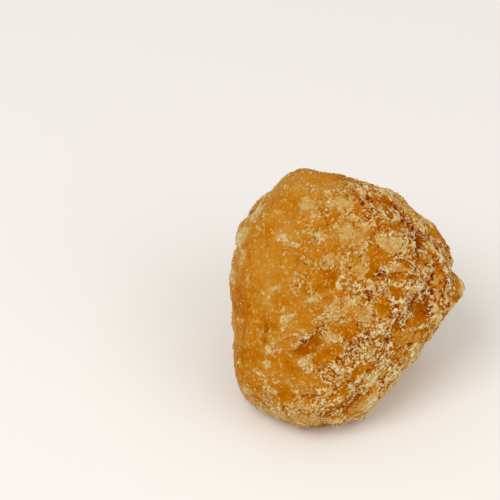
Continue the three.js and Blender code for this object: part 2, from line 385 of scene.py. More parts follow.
        Place("shelf calm", -4.5, 17.8, 2.4, 2, 0.8),
        Place("left tan calm", -5, -1.5, 2.2, 1.8, 0.7),
        Place("low left calm", -20, -20, 2.6, 2.6, 0.7),
        Place("grain calm", 11.5, -5.8, 2, 2),
        Place("corner calm", 8.8, -25.4, 2.4, 1.4, 0.6, 45),
        Place("shelf right calm", 4.2, 19.4, 2.4, 1.8, 0.5),
        Place("left low calm", -14.8, -7.4, 2.8, 1.8, 0.5),
        Place("band calm", 25.6, 18.9, 3.4, 1.5, 0.8, -48),
        Place("smooth side calm", -23.5, 11.5, 5, 5.5, 0.8),
    ),
    Ground.FLAKE: (
        Place("flake", -11.8, 27.4, 2.4, 1.9, 1, -5),
    ),
    Ground.BARE: (
        Place("ridge gap", -3.5, 4.9, 1.5, 2.3, 0.9, -12),
        Place("smooth side wax", -24.1, 8, 6.4, 10, 0.9),
        Place("smooth side low", -24.7, -3.8, 6.4, 8.2, 0.8),
        Place("smooth top", -18, 28.9, 5.3, 5.3, 0.8),
        Place("low smooth", -27.6, -17.2, 4.7, 7.6, 0.6),
        Place("brow bare", 3.2, 26, 1, 1.9, 0.8),
        Place("brow bare right", 9.6, 20, 1.3, 1.2, 0.2, -20),
        Place("brow bare edge", 15.3, 21.4, 1.8, 1.1, 1.9, 10),
        Place("big bare", 8.9, 12.3, 2.6, 2, 1.5, -25),
        Place("big bare foot", 8, 8.8, 1.3, 1.5, 1.2),
        Place("oval bare", 15.9, 6, 2.2, 1.3, 0.7, -5),
        Place("low oval", 10.3, -1.5, 1.5, 2.6, 1.4, 5),
        Place("left oval", -7.2, 4.7, 2.9, 2.6, 0.4, 30),
        Place("left low bare", -11.2, -7.6, 2.6, 2.2, 0.75),
        Place("centre bare", -4, 14.6, 2.6, 1.2, 0.9, 15),
        Place("shelf bare", 14.8, 1.8, 2.2, 1.4, 1.3, -35),
        Place("twin bare left", -2.8, -9.1, 1.5, 1.2, 1.2),
        Place("twin bare right", 1, -9.1, 1.8, 1.8),
        Place("low bare", -4, -15.2, 3.2, 1.6, 1.4, 15),
        Place("round bare", -18, -27.2, 2.3, 2.3, 1.3),
        Place("low mid bare", -9.8, -23.9, 2.3, 1.5, 1.1, 5),
        Place("right low bare", 4.2, -20.9, 2.6, 1.1, 1.3, 22),
        Place("bottom bare", -0.8, -27.2, 2.6, 1.3, 0.7, 20),
        Place("bottom right bare", 5.7, -28.9, 4.1, 1.8, 0.5, 40),
        Place("band bare", 26.1, 19.5, 4.6, 1.7, 0.7, -48),
        Place("low amber", 0.1, -22.8, 2.4, 0.9, 0.3, 5),
        Place("foot bare", -15.7, -22.8, 2.2, 1.7, 0.9),
        Place("side strip", -31.7, 0, 1.2, 4.6, 1.5, 2),
        Place("band bare low", 27.6, 10.2, 1.5, 1.5, 0.5),
        Place("nub bare", 32.2, 4.4, 1.1, 2, 1.2, -10),
        Place("ledge bare", 21.6, -4.6, 2.4, 2.6, 0.9, -30),
        Place("ledge bare low", 18.2, -6.7, 1.8, 1.8, 0.8),
        Place("mid right bare", 18.5, -1.5, 1.5, 1.8, 0.3),
        Place("star bare", -14.3, 1, 1.9, 1.9, 0.7, -30),
        Place("centre cream gap", 6.7, 7, 1.4, 0.7, 0.9, 10),
        Place("lump gap", 20.6, -6.9, 2.6, 1, 0.9, 5),
        Place("lower cream gap", -15.4, -19.9, 1.6, 1.4, 0.7),
        Place("bottom gap", -3.1, -34.5, 2.4, 0.9, 1, 5),
        Place("low mid gap", -6.8, -25.1, 1.4, 1, 0.5),
        Place("top gap", -6.8, 34.8, 2.6, 1, 0.5, -8),
        Place("right amber", 27.6, 8.9, 1.8, 1.5, 0.45),
        Place("right amber high", 22.3, 11, 1.2, 1.1, 0.9),
        Place("lump edge bare", 24.6, -8.8, 1.6, 1.6, 0.2, 45),
        Place("low left bare", -18, -19.4, 2.2, 2.8, 0.5),
        Place("layer band gap", 13.7, -18, 1.8, 1, 1.2, 50),
        Place("bare right", 11.2, 11.3, 1.3, 1.1, 0.7),
        Place("hole middle", 2, 6.4, 0.7, 0.6),
        Place("hole middle right", 4.6, 4.9, 0.9, 0.5, 1, -20),
        Place("hole centre", 3.6, 1.6, 0.7, 0.6),
        Place("hole centre low", -0.7, -1.5, 1.1, 0.5, 1, 40),
        Place("hole low", 0.8, -4.6, 1, 0.5, 0.9, -30),
        Place("hole foot", 2.2, -6.5, 0.6, 0.5, 0.9),
        Place("hole oval", -0.7, 5.4, 0.8, 0.6, 1, 30),
        Place("left tan gap", -5.2, -0.3, 1.5, 1.2, 0.8),
        Place("left tan gap low", -13.6, -2.2, 2.4, 1.6, 0.8),
        Place("crease gap", -20.2, -15.4, 1.1, 1, 0.6),
        Place("bottom crust gap", -15, -29.4, 1.2, 1.6, 0.9),
        Place("left tan gap side", -9.7, -4.2, 1.9, 1.2, 0.5),
        Place("hole ridge", -0.3, 2.5, 1, 0.8, 0.5),
        Place("layer gap low", 13.7, -20.2, 1.2, 0.8, 0.6, 45),
        Place("seam gap", 0.4, 1.2, 1.8, 1.6, 0.3),
        Place("low dip bare", -13.3, -16.3, 1.8, 1.4, 0.35),
        Place("nub side bare", 29.6, 2.2, 1.6, 1.8, 0.4),
        Place("lump right bare", 20, -12, 1.6, 1.4, 0.4),
    ),
    Ground.HOLLOW: (
        Place("long hollow", -11.2, -13.9, 4, 1.7, 1.1, 27),
        Place("ledge cave", 21, -3, 2.6, 2, 1, -30),
        Place("pebble crevice", 21.3, 16.6, 1.1, 1.5, 1.6, -10),
        Place("bottom hollow", -1.9, -31.2, 3.2, 0.8, 0.35, 22),
        Place("bottom hollow left", -11.3, -28.3, 2.3, 0.5, 0.7, -2),
        Place("side crease", -23.5, -9.3, 0.6, 2.3, 0.5, -10),
    ),
    Ground.PITS: (
        Place("pits centre", 10, 7.3, 1.8, 2, 0.8),
        Place("pits low", 6.8, 1.6, 1.4, 1.2),
        Place("pits crack", 12.1, -12.6, 0.9, 3.5, 1, 5),
        Place("pits low left", 2.9, -13.4, 5.4, 1.7, 1, 50),
        Place("pits foot", 1.9, -30, 2, 1.5, 0.2, 30),
        Place("pits nub", 28, -3.6, 1.6, 1, 0.9, 40),
        Place("pits terrace", 8.6, 24.6, 3.6, 2, 0.5, -40),
        Place("pits pebble", 20.3, 19.6, 1.5, 1.8, 1, -40),
        Place("pits cave", 23.6, -3.4, 2, 1.4, 1.2, 40),
        Place("pits heel", 8.8, -20, 1.6, 3, 0.7, 10),
        Place("pits foot right", 12.4, -18.7, 1, 2.5, 0.8),
        Place("pits bottom", -4.4, -33.6, 3, 1, 0.6, 10),
        Place("pits brow", 3, 32.6, 3, 1, 0.5, -15),
        Place("pits ledge", 22.8, 2.3, 2.6, 0.8, 0.6, 45),
        Place("pits shelf", 19.4, -0.6, 1.5, 2.3, 0.9, 20),
        Place("pits corner", 4.5, -27.2, 2.6, 1.5, 0.9, 20),
        Place("pits hollow", -7.8, -9.1, 1.2, 1.8, 0.7, 30),
        Place("pits left", -13.6, 3.8, 1.8, 2.3, 0.4, -30),
        Place("pits mid", 15.6, -6.1, 2.9, 3.5, 0.7, 40),
        Place("pits cave high", 22.9, -0.3, 1.6, 0.9, 0.9, 20),
        Place("pits cave left", 19.2, -3, 0.9, 1.6, 0.8),
        Place("pits lip", -12.3, -12.6, 1.5, 0.8, 0.9, 25),
        Place("pits crease", -24.3, -9.8, 1.3, 2.6, 0.7, -8),
        Place("pits lump", 15.9, -10.8, 1.4, 1.4, 0.5),
        Place("pits seam", 6.4, 0.6, 1.8, 1.8, 0.25),
    ),
    # Each pit is darkened with painted shade; the pit shadow ones paint, as dots, the shadow under the ledge.
    Ground.PIT: (
        Place("pit centre", 6.4, 2.1, 0.8, 0.45),
        Place("pit centre low", 6.6, -0.3, 0.35, 0.5),
        Place("pit centre left", 4.6, 0, 0.3, 0.45, 0.8),
        Place("pit alone", 1, 9.1, 0.4, 0.4, 1.2),
        Place("pit mound", 9.2, 15.4, 0.35, 0.5, 0.9),
        Place("pit bare", 10.2, 8.3, 0.8, 0.3, 0.9, 8),
        Place("pit bare low", 9.9, 6.6, 0.55, 0.45, 1, 50),
        Place("pit bare left", 8.9, 6.7, 0.35, 0.3, 0.9),
        Place("pit bare foot", 8.8, 3.1, 0.25, 0.8, 0.9, -20),
        Place("pit shadow top", 25.2, 7, 0.35, 0.6, 1.2, -20),
        Place("pit shadow high", 25.2, 5.8, 0.35, 0.45, 1.2, -20),
        Place("pit shadow middle", 24.3, 4.9, 0.5, 0.4, 1.2, -20),
        Place("pit shadow low", 23.3, 3.8, 0.4, 0.5, 1.2, -20),
        Place("pit shadow left", 22.6, 2.9, 0.45, 0.4, 1.2, -20),
        Place("pit shadow foot", 21.9, 2.2, 0.45, 0.4, 1.2, -20),
        Place("pit ledge right", 22.7, 0.9, 0.5, 0.25, 1, -30),
        Place("pit ledge left", 19.4, -0.5, 0.5, 0.4, 1.2),
        Place("pit crevice top", 20.5, 17.3, 0.45, 0.6, 1, -20),
        Place("pit crevice left", 20.4, 16, 0.35, 0.35, 0.9),
        Place("pit crevice low", 20.5, 14.4, 0.4, 0.35, 0.9),
        Place("pit crevice foot", 21.3, 12.7, 0.4, 0.6, 0.7),
        Place("pit crevice tail", 20.5, 10.5, 0.25, 0.5, 0.9, 20),
        Place("pit right cream", 25.2, 12.3, 0.4, 0.3, 0.8),
        Place("pit nub", 26.4, 6.5, 0.4, 0.25, 0.8),
        Place("pit nub low", 29.9, 0.8, 0.3, 0.3, 0.8),
        Place("pit grey", 22, 6.6, 0.4, 0.25, 0.8),
        Place("pit brow", 14.4, 26.6, 0.4, 0.4, 1.1),
        Place("pit brow edge", 11.4, 28.7, 0.5, 0.2, 0.7, -10),
        Place("pit rim", 13, 24.7, 0.2, 0.55, 0.8),
        Place("pit rim low", 12.7, 22.8, 0.26, 0.3, 0.8),
        Place("pit low crack", 12, -12.1, 0.5, 0.6),
        Place("pit low left", 7, -13.4, 0.35, 0.4),
        Place("pit low high", 6.6, -10.5, 0.9, 0.4, 0.8, -20),
        Place("pit low row", 1.4, -13.2, 0.4, 0.7, 0.8),
        Place("pit lump", 19.4, -8.2, 0.9, 0.25, 0.8, -10),
        Place("pit cave", 24.5, -2.4, 0.5, 0.3, 0.9, -20),
        Place("pit corner", 1.2, -29.2, 0.4, 0.4, 0.8),
        Place("pit foot", -4.6, -31.5, 0.6, 0.3, 0.8, 20),
    ),
}

# Each crack is sunk and darkened along its line with painted shade; the ledge shadow paints the shadow under
# a ledge.
CRACKS = (
    Crack("ledge crack", ((13.2, 28.3), (14.8, 26.6), (16.5, 24.2), (18.5, 21.3)), 0.4, 0.9),
    Crack("ledge crack low", ((20.4, 19.2), (21.7, 16.9), (20.8, 13.5), (20.2, 10.8)), 0.45, 0.75),
    Crack("pebble ring", ((18.8, 20.1), (19.7, 20.9), (21.1, 20.1), (21.9, 18.4)), 0.23, 1),
    Crack("band crack", ((23.8, 18.4), (25.5, 16.9), (27.6, 15.2), (29.3, 15)), 0.26, 0.9),
    Crack("nub crack", ((30.8, 7.9), (30.6, 4.1), (29.9, 0.9)), 0.26, 0.6),
    Crack("streak crack", ((26.4, 11.4), (25.3, 10.2), (25.5, 6.5)), 0.3, 0.8),
    Crack("ledge shadow", ((25.5, 7.6), (24.3, 5), (22, 2.3), (19.7, -0.6)), 0.45, 0.7),
    Crack("hollow lip", ((-11.9, -12.3), (-9.5, -11.2), (-7.8, -9.1), (-6.3, -6.7)), 0.26, 0.9),
    Crack("flake crack", ((-8.1, 26.6), (-6.3, 23.9), (-5.4, 21.3)), 0.26, 0.8),
    Crack("flake side", ((-12.7, 24.5), (-11.3, 21.9), (-10.1, 20.7)), 0.23, 0.5),
    Crack("low crack", ((-12.7, -28.6), (-11, -27.9), (-8.4, -28.3)), 0.23, 0.7),
    Crack("corner crack", ((-1.9, -30.8), (1, -29.5), (3.3, -28.3)), 0.26, 0.6),
    Crack("rim crack", ((1, 32.7), (3.3, 30.1), (4.8, 28.6)), 0.23, 0.8),
    Crack("brow crack", ((9.7, 28.9), (12.1, 28.5), (14.4, 26.6)), 0.23, 0.8),
    Crack("mid crack", ((12.4, -9.9), (11.8, -13.4), (11.6, -17.2)), 0.26, 0.9),
    Crack("side seam", ((-29.4, -0.3), (-28.2, -3.8), (-26.5, -6.1)), 0.26, 0.4),
)


def tone(code: str) -> tuple[float, float, float, float]:
    """Turns a screen colour such as "c8883a" into the light it stands for.

    Args:
        code: six hexadecimal digits.

    Returns:
        Linear red, green, blue and an alpha of 1.
    """
    shares = [int(code[i : i + 2], 16) / 255 for i in (0, 2, 4)]
    red, green, blue = [s / 12.92 if s <= 0.04045 else ((s + 0.055) / 1.055) ** 2.4 for s in shares]
    return red, green, blue, 1.0


class Bench:
    """Sets nodes in a tree and joins them. The same calls serve a finish and a shaping modifier."""

    def __init__(self, tree: bpy.types.NodeTree) -> None:
        """Takes the tree that the nodes go into."""
        self.tree = tree
        self.shapes = tree.bl_idname == "GeometryNodeTree"

    def node(self, kind: str, **settings: object) -> bpy.types.Node:
        """Adds a node.

        Args:
            kind: the node's type name.
            settings: its properties by name.

        Returns:
            The new node.
        """
        made = self.tree.nodes.new(kind)
        for name, value in settings.items():
            setattr(made, name, value)
        return made

    def feed(self, socket: Socket, value: Value) -> None:
        """Links a socket to another, or sets its number.

        Args:
            socket: the input.
            value: an output to link, or a plain value.
        """
        if isinstance(value, bpy.types.NodeSocket):
            self.tree.links.new(value, socket)
        else:
            socket.default_value = value

    def fill(self, made: bpy.types.Node, values: dict[Union[int, str], Value]) -> Socket:
        """Feeds a node's inputs.

        Args:
            made: the node.
            values: what goes into each input, by the input's name or number.

        Returns:
            The node's first output.
        """
        for which, value in values.items():
            self.feed(made.inputs[which], value)
        return made.outputs[0]

    def math(self, operation: str, first: Value, second: Value = 0.0, third: Value = 0.0) -> Socket:
        """Works out one sum of up to three numbers, such as "MULTIPLY_ADD"."""
        return self.fill(self.node("ShaderNodeMath", operation=operation), {0: first, 1: second, 2: third})

    def total(self, *terms: tuple[Value, Value]) -> Socket:
        """Adds weighted numbers.

        Args:
            terms: pairs of a number and its weight.

        Returns:
            The sum.
        """
        so_far: Value = 0.0
        for value, weight in terms:
            so_far = self.math("MULTIPLY_ADD", value, weight, so_far)
        return so_far

    def times(self, *factors: Value) -> Socket:
        """Multiplies numbers.

        Args:
            factors: two or more numbers.

        Returns:
            The product.
        """
        product = factors[0]
        for factor in factors[1:]:
            product = self.math("MULTIPLY", product, factor)
        return product

    def step(self, value: Value, low: Value, high: Value, start: float = 0.0, end: float = 1.0) -> Socket:
        """A soft step from start to end as a value goes from low to high."""
        made = self.node("ShaderNodeMapRange", interpolation_type="SMOOTHSTEP")
        return self.fill(made, {0: value, 1: low, 2: high, 3: start, 4: end})

    def noise(self, at: Socket, size: float, detail: float, roughness: float, seed: float) -> Socket:
        """Cloudy noise around 0.5, laid as clouds says."""
        return self.clouds(at, size, detail, roughness, seed).outputs[0]

    def clouds(self, at: Socket, size: float, detail: float, roughness: float, seed: float) -> bpy.types.Node:
        """Adds a node of cloudy noise.

        Args:
            at: where it is read.
            size: the breadth of its largest clouds.
            detail: how many finer layers it has.
            roughness: how strong the finer layers are.
            seed: tells one noise from another.

        Returns:
            The node.
        """
        made = self.node("ShaderNodeTexNoise", noise_dimensions="4D")
        layers = {"Detail": detail, "Roughness": roughness}
        self.fill(made, {"Vector": at, "W": seed, "Scale": 1 / size, **layers})
        return made

    def lumps(self, at: Socket, size: float, seed: float) -> tuple[Socket, Socket, Socket]:
        """Rounded cells.

        Args:
            at: where they are read.
            size: their spacing.
            seed: tells one set of cells from another.

        Returns:
            The distance from the cell's middle, and two numbers from 0 to 1 that are the cell's own.
        """
        cells = self.cells(at, size, seed, "F1")
        own = self.node("ShaderNodeSeparateXYZ")
        self.feed(own.inputs[0], cells.outputs["Color"])
        return cells.outputs["Distance"], own.outputs[0], own.outputs[1]

    def seams(self, at: Socket, size: float, seed: float) -> Socket:
        """The distance from the nearest seam between the cells that lumps gives, 0 on a seam."""
        return self.cells(at, size, seed, "DISTANCE_TO_EDGE").outputs["Distance"]

    def cells(self, at: Socket, size: float, seed: float, feature: str) -> bpy.types.Node:
        """Adds a node of rounded cells.

        Args:
            at: where they are read.
            size: their spacing.
            seed: tells one set of cells from another.
            feature: what the node measures.

        Returns:
            The node.
        """
        made = self.node("ShaderNodeTexVoronoi", voronoi_dimensions="4D", feature=feature)
        self.fill(made, {"Vector": at, "W": seed, "Scale": 1 / size})
        return made

    def warp(self, at: Socket, size: float, amount: float, seed: float) -> Socket:
        """Pushes places about by cloudy noise, so that what is read there has uneven outlines.

        Args:
            at: the places.
            size: the breadth of the clouds.
            amount: how far a place may move.
            seed: tells one noise from another.

        Returns:
            The moved places.
        """
        clouds = self.clouds(at, size, detail=3.0, roughness=0.7, seed=seed).outputs["Color"]
        centring = self.node("ShaderNodeVectorMath", operation="SUBTRACT")
        centred = self.fill(centring, {0: clouds, 1: (0.5,) * 3})
        moved = self.node("ShaderNodeVectorMath", operation="MULTIPLY_ADD")
        return self.fill(moved, {0: centred, 1: (2 * amount,) * 3, 2: at})

    def between(self, first: Socket, second: Socket) -> Socket:
        """Finds the places halfway between two sets of places.

        Args:
            first: the first places.
            second: the second places.

        Returns:
            The places between.
        """
        made = self.node("ShaderNodeMix", data_type="VECTOR")
        self.fill(made, {0: 0.5, 4: first, 5: second})
        return made.outputs[1]

    def blend(self, share: Value, first: Value, second: Value) -> Socket:
        """Mixes two numbers, with the share given of the second."""
        made = self.node("ShaderNodeMix", data_type="FLOAT")
        return self.fill(made, {"Factor": share, "A": first, "B": second})

    def dye(self, share: Value, first: Value, second: Value) -> Socket:
        """Mixes two colours.

        Args:
            share: how much of the second is in the mix.
            first: the first colour.
            second: the second colour.

        Returns:
            The mixed colour.
        """
        made = self.node("ShaderNodeMix", data_type="RGBA")
        self.fill(made, {0: share, 6: first, 7: second})
        return made.outputs[2]

    def bands(self, value: Value, stops: tuple[tuple[float, str], ...], low: float, high: float) -> Socket:
        """Turns a number into a colour along a row of stops.

        Args:
            value: the number.
            stops: pairs of a number and the colour it stands for, in rising order.
            low: the number that the row starts at.
            high: the number that it ends at.

        Returns:
            The colour.
        """
        share = self.fill(self.node("ShaderNodeMapRange"), {0: value, 1: low, 2: high})
        made = self.node("ShaderNodeValToRGB")
        row = made.color_ramp.elements
        while len(row) < len(stops):
            row.new(0.5)
        for element, (number, code) in zip(row, stops):
            element.position = (number - low) / (high - low)
            element.color = tone(code)
        return self.fill(made, {0: share})

    def read(self, name: str, vector: bool = False) -> Socket:
        """Reads what is stored on the mesh.

        Args:
            name: the stored value's name.
            vector: whether it is a vector.

        Returns:
            The value.
        """
        if self.shapes:
            kind = "FLOAT_VECTOR" if vector else "FLOAT"
            made = self.node("GeometryNodeInputNamedAttribute", data_type=kind)
            made.inputs["Name"].default_value = name
            return made.outputs["Attribute"]
        made = self.node("ShaderNodeAttribute", attribute_name=name)
        return made.outputs["Vector" if vector else "Fac"]

    def store(self, mesh: Socket, name: str, value: Value, domain: str = "POINT") -> Socket:
        """Stores a number under a name on each point, or each copy, of a mesh and gives the mesh on."""
        made = self.node("GeometryNodeStoreNamedAttribute", data_type="FLOAT", domain=domain)
        return self.fill(made, {"Geometry": mesh, "Name": name, "Value": value})

    def push(self, mesh: Socket, way: Socket, distance: Value) -> Socket:
        """Moves points.

        Args:
            mesh: what the points belong to.
            way: the way that each one goes, a unit long.
            distance: how far it goes.

        Returns:
            The mesh with its points moved.
        """
        scaled = self.node("ShaderNodeVectorMath", operation="SCALE")
        offset = self.fill(scaled, {0: way, "Scale": distance})
        return self.fill(self.node("GeometryNodeSetPosition"), {"Geometry": mesh, "Offset": offset})


@dataclass(frozen=True)
class CrustRule:
    """Where the dry crust covers the amber: the stored ground and seeded noise decide.

    A size is the breadth of what it names, and a swing is how strongly that tells.
    """

    island: float = 4.4 * MM
    chip: float = 3.3 * MM
    crevice: float = 2.7 * MM
    crumb: float = 0.85 * MM
    bead: float = 0.62 * MM
    beading: float = 0.2
    calm: float = 3.8 * MM
    streak: float = 0.95 * MM
    sway: float = 1.9 * MM
    sway_reach: float = 0.7 * MM
    island_swing: float = 2.6
    chip_swing: float = 1.7
    net: float = 0.6  # crust added along the chips' seams
    crumb_swing: float = 2.6
    busy_swing: float = 6.5


class Crust:
    """The crust rule laid in one node tree: islands, chips and crumbs, and the gaps between them."""

    def __init__(self, bench: Bench, rule: CrustRule, detail: float) -> None:
        """Lays the rule's nodes.

        Args:
            bench: the tree's nodes.
            rule: the sizes and strengths.
            detail: how many finer layers the crumbs have.
        """
        self.bench = bench
        self.rule = rule
        self.at = bench.read("rest_at", vector=True)
        self.rough = bench.step(bench.read("busy"), 0.0, 0.45, 0.2, 1.0)
        swayed = bench.warp(self.at, rule.sway, rule.sway_reach, seed=3.0)
        _, self.own, self.nature = bench.lumps(swayed, rule.chip, seed=4.0)
        self.seam = bench.seams(swayed, rule.chip, seed=4.0)
        self.broad = bench.total((self.islands(), 1.0), (self.chips(), 1.0), (bench.read("ground"), 1.0))
        halfway = bench.between(self.at, swayed)
        _, self.bead, _ = bench.lumps(halfway, rule.bead, seed=8.0)
        self.crumbs = self.lay_crumbs(halfway, detail)
        self.crevices = self.open_crevices()
        self.level = bench.math("ADD", self.broad, self.crumbs)
        softness = bench.blend(self.rough, 0.36, 0.18)
        self.cover = bench.step(self.level, bench.times(softness, -1.0), bench.times(softness, 0.5))

    def islands(self) -> Socket:
        """The broad rise and fall of the crust, around 0."""
        islands = self.bench.noise(self.at, self.rule.island, detail=2.0, roughness=0.85, seed=1.0)
        return self.bench.times(self.bench.math("SUBTRACT", islands, 0.5), self.rule.island_swing)

    def chips(self) -> Socket:
        """Gives each chip more crust or less, with more along its seams.

        Returns:
            The crust added or taken away, around 0.
        """
        edge = self.bench.step(self.seam, 0.02, 0.2, self.rule.net, 0.0)
        broken = self.bench.times(self.bench.math("SUBTRACT", self.own, 0.55), self.rule.chip_swing)
        return self.bench.times(self.bench.math("ADD", broken, edge), self.rough)

    def lay_crumbs(self, swayed: Socket, detail: float) -> Socket:
        """The fine crumbs, around 0: strong where the ground is busy, faint where it is smooth.

        Args:
            swayed: the places, pushed about.
            detail: how many finer layers there are.

        Returns:
            The crumbs, drawn out into streaks along the right-hand rims.
        """
        bench, rule = self.bench, self.rule
        round_ones = bench.noise(swayed, rule.crumb, detail=detail, roughness=1.0, seed=2.0)
        beads = bench.times(bench.math("SUBTRACT", self.bead, 0.5), self.rough)
        beaded = bench.total((round_ones, 0.9), (0.05, 1.0), (beads, rule.beading))
        drawn_out = bench.read("streak_at", vector=True)
        long_ones = bench.noise(drawn_out, rule.streak, detail=detail, roughness=1.0, seed=7.0)
        crumbs = bench.blend(bench.read("streaky"), beaded, long_ones)
        calm = bench.noise(self.at, rule.calm, detail=1.0, roughness=0.7, seed=5.0)
        by_chip = bench.step(self.nature, 0.35, 0.6, 1.25, 0.5)
        crumbly = bench.times(bench.step(calm, 0.36, 0.6, 0.25, 1.4), by_chip)
        busy = bench.times(bench.read("busy"), crumbly)
        swing = bench.math("MULTIPLY_ADD", busy, rule.busy_swing, rule.crumb_swing)
        left = bench.math("SUBTRACT", 1.0, bench.read("smooth"))
        return bench.times(bench.math("SUBTRACT", crumbs, 0.5), swing, left)

    def open_crevices(self) -> Socket:
        """Opens narrow gaps along some of the seams, which the skin sinks and darkens with painted shade.

        Returns:
            1 in the gaps and 0 elsewhere.
        """
        bench = self.bench
        clouds = bench.noise(self.at, self.rule.crevice, detail=2.0, roughness=0.7, seed=6.0)
        open_here = bench.step(clouds, 0.5, 0.6)
        return bench.times(bench.step(self.seam, 0.01, 0.075, 1.0, 0.0), open_here, self.rough)


CRUST_RULE = CrustRule()


def start_finish(name: str) -> tuple[bpy.types.Material, Bench, bpy.types.bpy_prop_collection]:
    """Starts a finish.

    Args:
        name: its name.

    Returns:
        The material, the bench of its nodes and the inputs of its shader.
    """
    made = bpy.data.materials.new(name)
    made.use_nodes = True
    return made, Bench(made.node_tree), made.node_tree.nodes["Principled BSDF"].inputs


@dataclass(frozen=True)
class BlockFinish:
    """The block's skin: amber wax, pale dust and painted light, crust, pits and specks, with painted shade in
    pits, cracks and crevices.
    """

    deep_amber: str = "a45400"
    # the wax's deepest tone, also the first step of painted shade
    amber: str = "b46a02"
    honey: str = "bc7a1c"
    pale_honey: str = "c28a36"
    tan: str = "c2954b"
    sand: str = "c6a15f"
    cream: str = "d0ba88"
    pale: str = "e0d6ae"
    # the colour of painted shade in pits, cracks, hollows and crevices
    pit: str = "802600"
    glow: str = "e0a040"
    cloud: float = 8 * MM
    powder: float = 1.3 * MM
    sheen: float = 1.6 * MM
    ripple: float = 1.1 * MM
    bump: float = 0.22 * MM
    bleed: float = 0.6 * MM  # how far light goes under the wax

    def colour(self, crust: Crust) -> Socket:
        """Works out the colour over the skin.

        Args:
            crust: the crust rule in the finish's nodes.

        Returns:
            The colour.
        """
        bench = crust.bench
        skin = bench.dye(crust.cover, self.wax(crust), self.dry_crust(crust))
        # Painted shade: hollows, pits, cracks and the gaps between crumbs go deep amber, then pit brown.
        dark = self.dark(crust)
        half_shaded = bench.dye(bench.step(dark, 0.0, 0.5), skin, tone(self.deep_amber))
        return bench.dye(bench.step(dark, 0.4, 0.95), half_shaded, tone(self.pit))

    def wax(self, crust: Crust) -> Socket:
        """Colours the bare amber, with its clouds, its pale dust and painted light, and the motes and flecks
        that dust it.

        Args:
            crust: the crust rule in the finish's nodes.

        Returns:
            The amber's colour.
        """
        bench = crust.bench
        clouds = bench.noise(crust.at, self.cloud, detail=4.0, roughness=0.8, seed=11.0)
        powder = bench.noise(crust.at, self.powder, detail=3.0, roughness=0.85, seed=13.0)
        dusting = bench.times(bench.step(powder, 0.54, 0.68), bench.step(clouds, 0.42, 0.58, 0.2, 1.3))
        paleness = bench.total(
            (clouds, 2.0),
            (bench.read("dust_and_painted_light"), 1.0),
            (0.1, 1.0),
            (bench.read("busy"), -0.4),
            (bench.times(crust.crumbs, bench.blend(crust.rough, 0.2, 1.1)), 1.0),
            (crust.broad, 0.14),
            (bench.step(crust.crumbs, 0.33, 0.46), bench.blend(crust.rough, 1.4, 0.7)),
            (dusting, 0.55),
            (bench.step(crust.bead, 0.9, 0.97), 1.15),
        )
        row = (
            (0.55, self.deep_amber),
            (0.85, self.amber),
            (1.15, self.honey),
            (1.6, self.pale_honey),
            (2.1, self.tan),
            (2.6, self.sand),
        )
        return bench.bands(paleness, row, 0.2, 2.7)

    def dry_crust(self, crust: Crust) -> Socket:
        """Colours the dry crust: paler where it lies thick and where a crumb stands up.

        Args:
            crust: the crust rule in the finish's nodes.

        Returns:
            The crust's colour.
        """
        bench = crust.bench
        crisp = bench.step(crust.crumbs, -0.4, 0.4, -1.0, 1.0)
        paleness = bench.total(
            (crust.broad, 0.2),
            (bench.times(crisp, bench.step(bench.read("busy"), 0.1, 0.8, 0.75, 1.1)), 1.0),
            (crust.crumbs, 0.3),
            (bench.read("dust_and_painted_light"), 0.5),
            (crust.own, 0.6),
            (0.3, -1.0),
        )
        row = (
            (-1.1, self.amber),
            (-0.5, self.honey),
            (0.0, self.tan),
            (0.5, self.sand),
            (1.0, self.cream),
            (1.7, self.pale),
        )
        return bench.bands(paleness, row, -1.2, 2.0)

    def dark(self, crust: Crust) -> Socket:
        """Finds where shade is painted: between crumbs near the crust's edge, in crevices, pits, hollows and
        cracks.

        Args:
            crust: the crust rule in the finish's nodes.

        Returns:
            How much painted shade each place has, 0 where it has none.
        """
        bench = crust.bench
        near_edge = bench.step(bench.math("ABSOLUTE", crust.broad), 0.3, 1.2, 1.0, 0.3)
        low = bench.total((crust.crumbs, 1.0), (bench.read("busy"), -0.15), (bench.read("pits"), -0.5))
        # painted shadow in the low gaps between crumbs near the crust's edge
        crevice_shade = bench.times(bench.step(low, -1.6, -0.95, 1.0, 0.0), near_edge)
        gaps = bench.math("MAXIMUM", crevice_shade, bench.times(crust.crevices, 0.9))
        pitted = bench.times(bench.read("dark"), bench.step(crust.crumbs, -0.3, 0.7, 1.1, 0.35))
        return bench.math("MAXIMUM", gaps, pitted)

    def material(self) -> bpy.types.Material:
        """Mixes the finish.

        Returns:
            The material.
        """
        made, bench, inputs = start_finish("jaggery_skin")
        crust = Crust(bench, CRUST_RULE, detail=1.7)
        bench.feed(inputs["Base Color"], self.colour(crust))
        sheen = bench.noise(crust.at, self.sheen, detail=2.0, roughness=0.6, seed=21.0)
        waxy = bench.step(sheen, 0.3, 0.7, 0.42, 0.62)
        bench.feed(inputs["Roughness"], bench.blend(crust.cover, waxy, 0.9))
        ripple = bench.noise(crust.at, self.ripple, detail=2.0, roughness=0.5, seed=23.0)
        relief = bench.total(
            (crust.crumbs, bench.blend(crust.rough, 0.25, 0.55)),
            (crust.cover, 0.35),
            (ripple, 0.2),
            (crust.crevices, -1.0),
        )
        bump = bench.node("ShaderNodeBump")
        bench.fill(bump, {"Strength": 0.6, "Distance": self.bump, "Height": relief})
        bench.feed(inputs["Normal"], bump.outputs["Normal"])
        inputs["IOR"].default_value = 1.45
        inputs["Specular IOR Level"].default_value = 0.02
        inputs["Specular Tint"].default_value = tone(self.glow)
        inputs["Subsurface Weight"].default_value = 0.22
        inputs["Subsurface Radius"].default_value = (1.0, 0.5, 0.15)
        inputs["Subsurface Scale"].default_value = self.bleed
        return made


